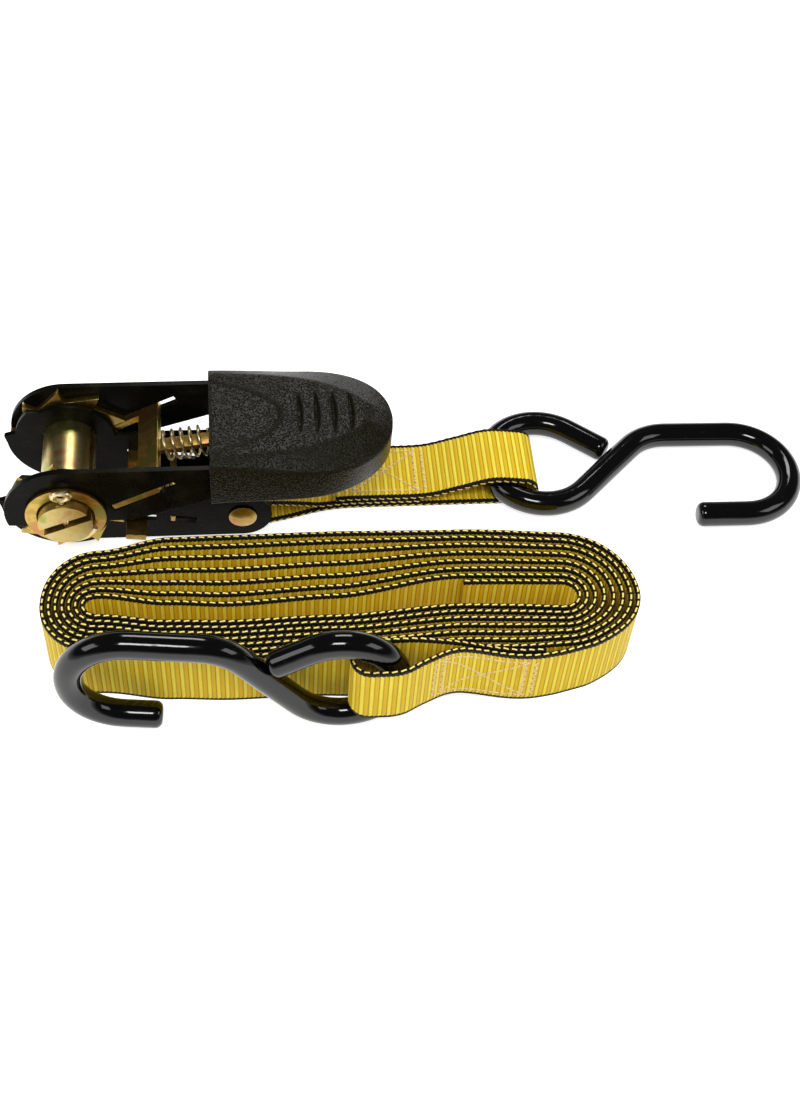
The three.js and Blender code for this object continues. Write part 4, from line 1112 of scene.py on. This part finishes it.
def add_grip():
    """The grip as one shell: outside rings from the open end to the nose and hollow rings back
    again, joined along the open lower side."""
    fine_end = groove_first + groove_count * groove_pitch
    turn = np.linspace(0, np.pi / 2, nose_stations)
    x = np.concatenate([
        np.linspace(grip_start, fine_end, top_stations, endpoint=False),
        fine_end + (grip_end - fine_end) * np.sin(turn) ** 0.85,
    ])
    hollow_share = (grip_end - grip_wall * 1.2 - grip_start) / (grip_end - grip_start)
    hollow = grip_rings(grip_wall, grip_start + (x - grip_start) * hollow_share)
    rings = np.concatenate([grip_rings(0, x)[::-1], hollow])
    rows, columns = rings.shape[:2]
    last = columns - 1
    faces = ring_faces(rows, columns)
    kept = faces[np.arange(len(faces)) % columns != last]
    row = np.arange(rows // 2 - 1) * columns
    back = (rows - 1) * columns - row
    left = np.stack([row, row + columns, back - columns, back], axis=1) + last
    right = np.stack([row + columns, row, back, back - columns], axis=1)
    faces = np.vstack([kept, left, right]).tolist()
    piece = add_piece("handle_grip_moulded", rings.reshape(-1, 3) + mandrel, faces,
                      paints["grip_plastic"], None)
    editing = bmesh.new()
    editing.from_mesh(piece.data)
    bmesh.ops.remove_doubles(editing, verts=editing.verts, dist=0.003 * MM)
    open_edges = [edge for edge in editing.edges if edge.is_boundary]
    bmesh.ops.holes_fill(editing, edges=open_edges, sides=0)
    bmesh.ops.recalc_face_normals(editing, faces=editing.faces)
    editing.to_mesh(piece.data)
    editing.free()
    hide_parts("handle_grip")
    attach(piece, "handle")


# Studio. Lamps: name, azimuth and elevation in degrees, distance and width in metres, watts
lamps = [
    ("key_lamp", -12, 63, 1.3, 0.36, 5.4),
    ("left_lamp", -80, 35, 1.4, 0.7, 3.2),
    ("right_lamp", 70, 40, 1.4, 0.7, 2.8),
    ("back_lamp", 176, 49, 1.43, 0.5, 4.2),
]
lamp_height_share = 0.7
floor_reach, floor_level = 4000, -0.02
floor_glow = 0.72
world_strength = 0.62
white, sky_dark, sky_end = (1, 1, 1), (0.07, 0.07, 0.07), 0.22


def floor_paint():
    """White floor that shows as white, with the object's soft shadow on it."""
    paint = Paint("white_floor", (0.86, 0.86, 0.86), 0.9)
    paint.set("Specular IOR Level", 0.0)
    glow = paint.wire("Emission", None, {"Color": (*white, 1), "Strength": floor_glow})
    bare = paint.wire("Emission", None, {"Color": (0, 0, 0, 1), "Strength": 0.0})
    surface = Wire(paint, paint.surface.outputs[0])
    shown = paint.blend(paint.seen_directly(), bare, glow)
    both = paint.wire("AddShader", None, {0: surface, 1: shown})
    paint.put(paint.tree.nodes["Material Output"].inputs[0], both)
    return paint.material


def add_lamp(name, azimuth, elevation, distance, size, power):
    """An area lamp that faces the origin."""
    way = Vector(way_to(math.radians(azimuth), math.radians(elevation)))
    data = bpy.data.lights.new(name, "AREA")
    data.shape = "RECTANGLE"
    data.size, data.size_y = size, size * lamp_height_share
    data.energy = power
    lamp = bpy.data.objects.new(name, data)
    lamp.location = way * distance
    lamp.rotation_mode = "QUATERNION"
    lamp.rotation_quaternion = way.to_track_quat("Z", "Y")
    bpy.context.collection.objects.link(lamp)


def add_world():
    """An even white world that lights the object; seen or mirrored, it darkens upwards."""
    world = bpy.data.worlds.new("studio")
    bpy.context.scene.world = world
    world.use_nodes = True
    sky = Nodes(world.node_tree)
    plain = sky.tree.nodes["Background"]
    plain.inputs["Color"].default_value = (*white, 1)
    plain.inputs["Strength"].default_value = world_strength
    way = sky.wire("TexCoord", output="Generated")
    height = sky.wire("SeparateXYZ", None, {0: way}, 2)
    shade = sky.wire(
        "ValToRGB", {"stops": [(0, white), (sky_end, sky_dark)]}, {0: height})
    shown = sky.wire("Background", None, {"Color": shade})
    mixed = sky.blend(sky.seen_directly(), Wire(sky, plain.outputs[0]), shown)
    sky.put(sky.tree.nodes["World Output"].inputs[0], mixed)


def add_studio():
    """A white floor, a soft lamp high on the camera's side, two weaker ones from the sides and a
    window-like one behind."""
    turns = ((-1, -1), (1, -1), (1, 1), (-1, 1))
    corners = [(x * floor_reach, y * floor_reach, floor_level) for x, y in turns]
    add_piece("floor", corners, [[0, 1, 2, 3]], floor_paint(), None, smooth=False)
    for lamp in lamps:
        add_lamp(*lamp)
    bpy.context.scene.view_settings.view_transform = "Standard"
    add_world()


add_camera()
add_studio()
for row in formed:
    add_formed(*row)
add_springs()
add_grip()
add_hooks()
add_long_strap()
add_short_strap()
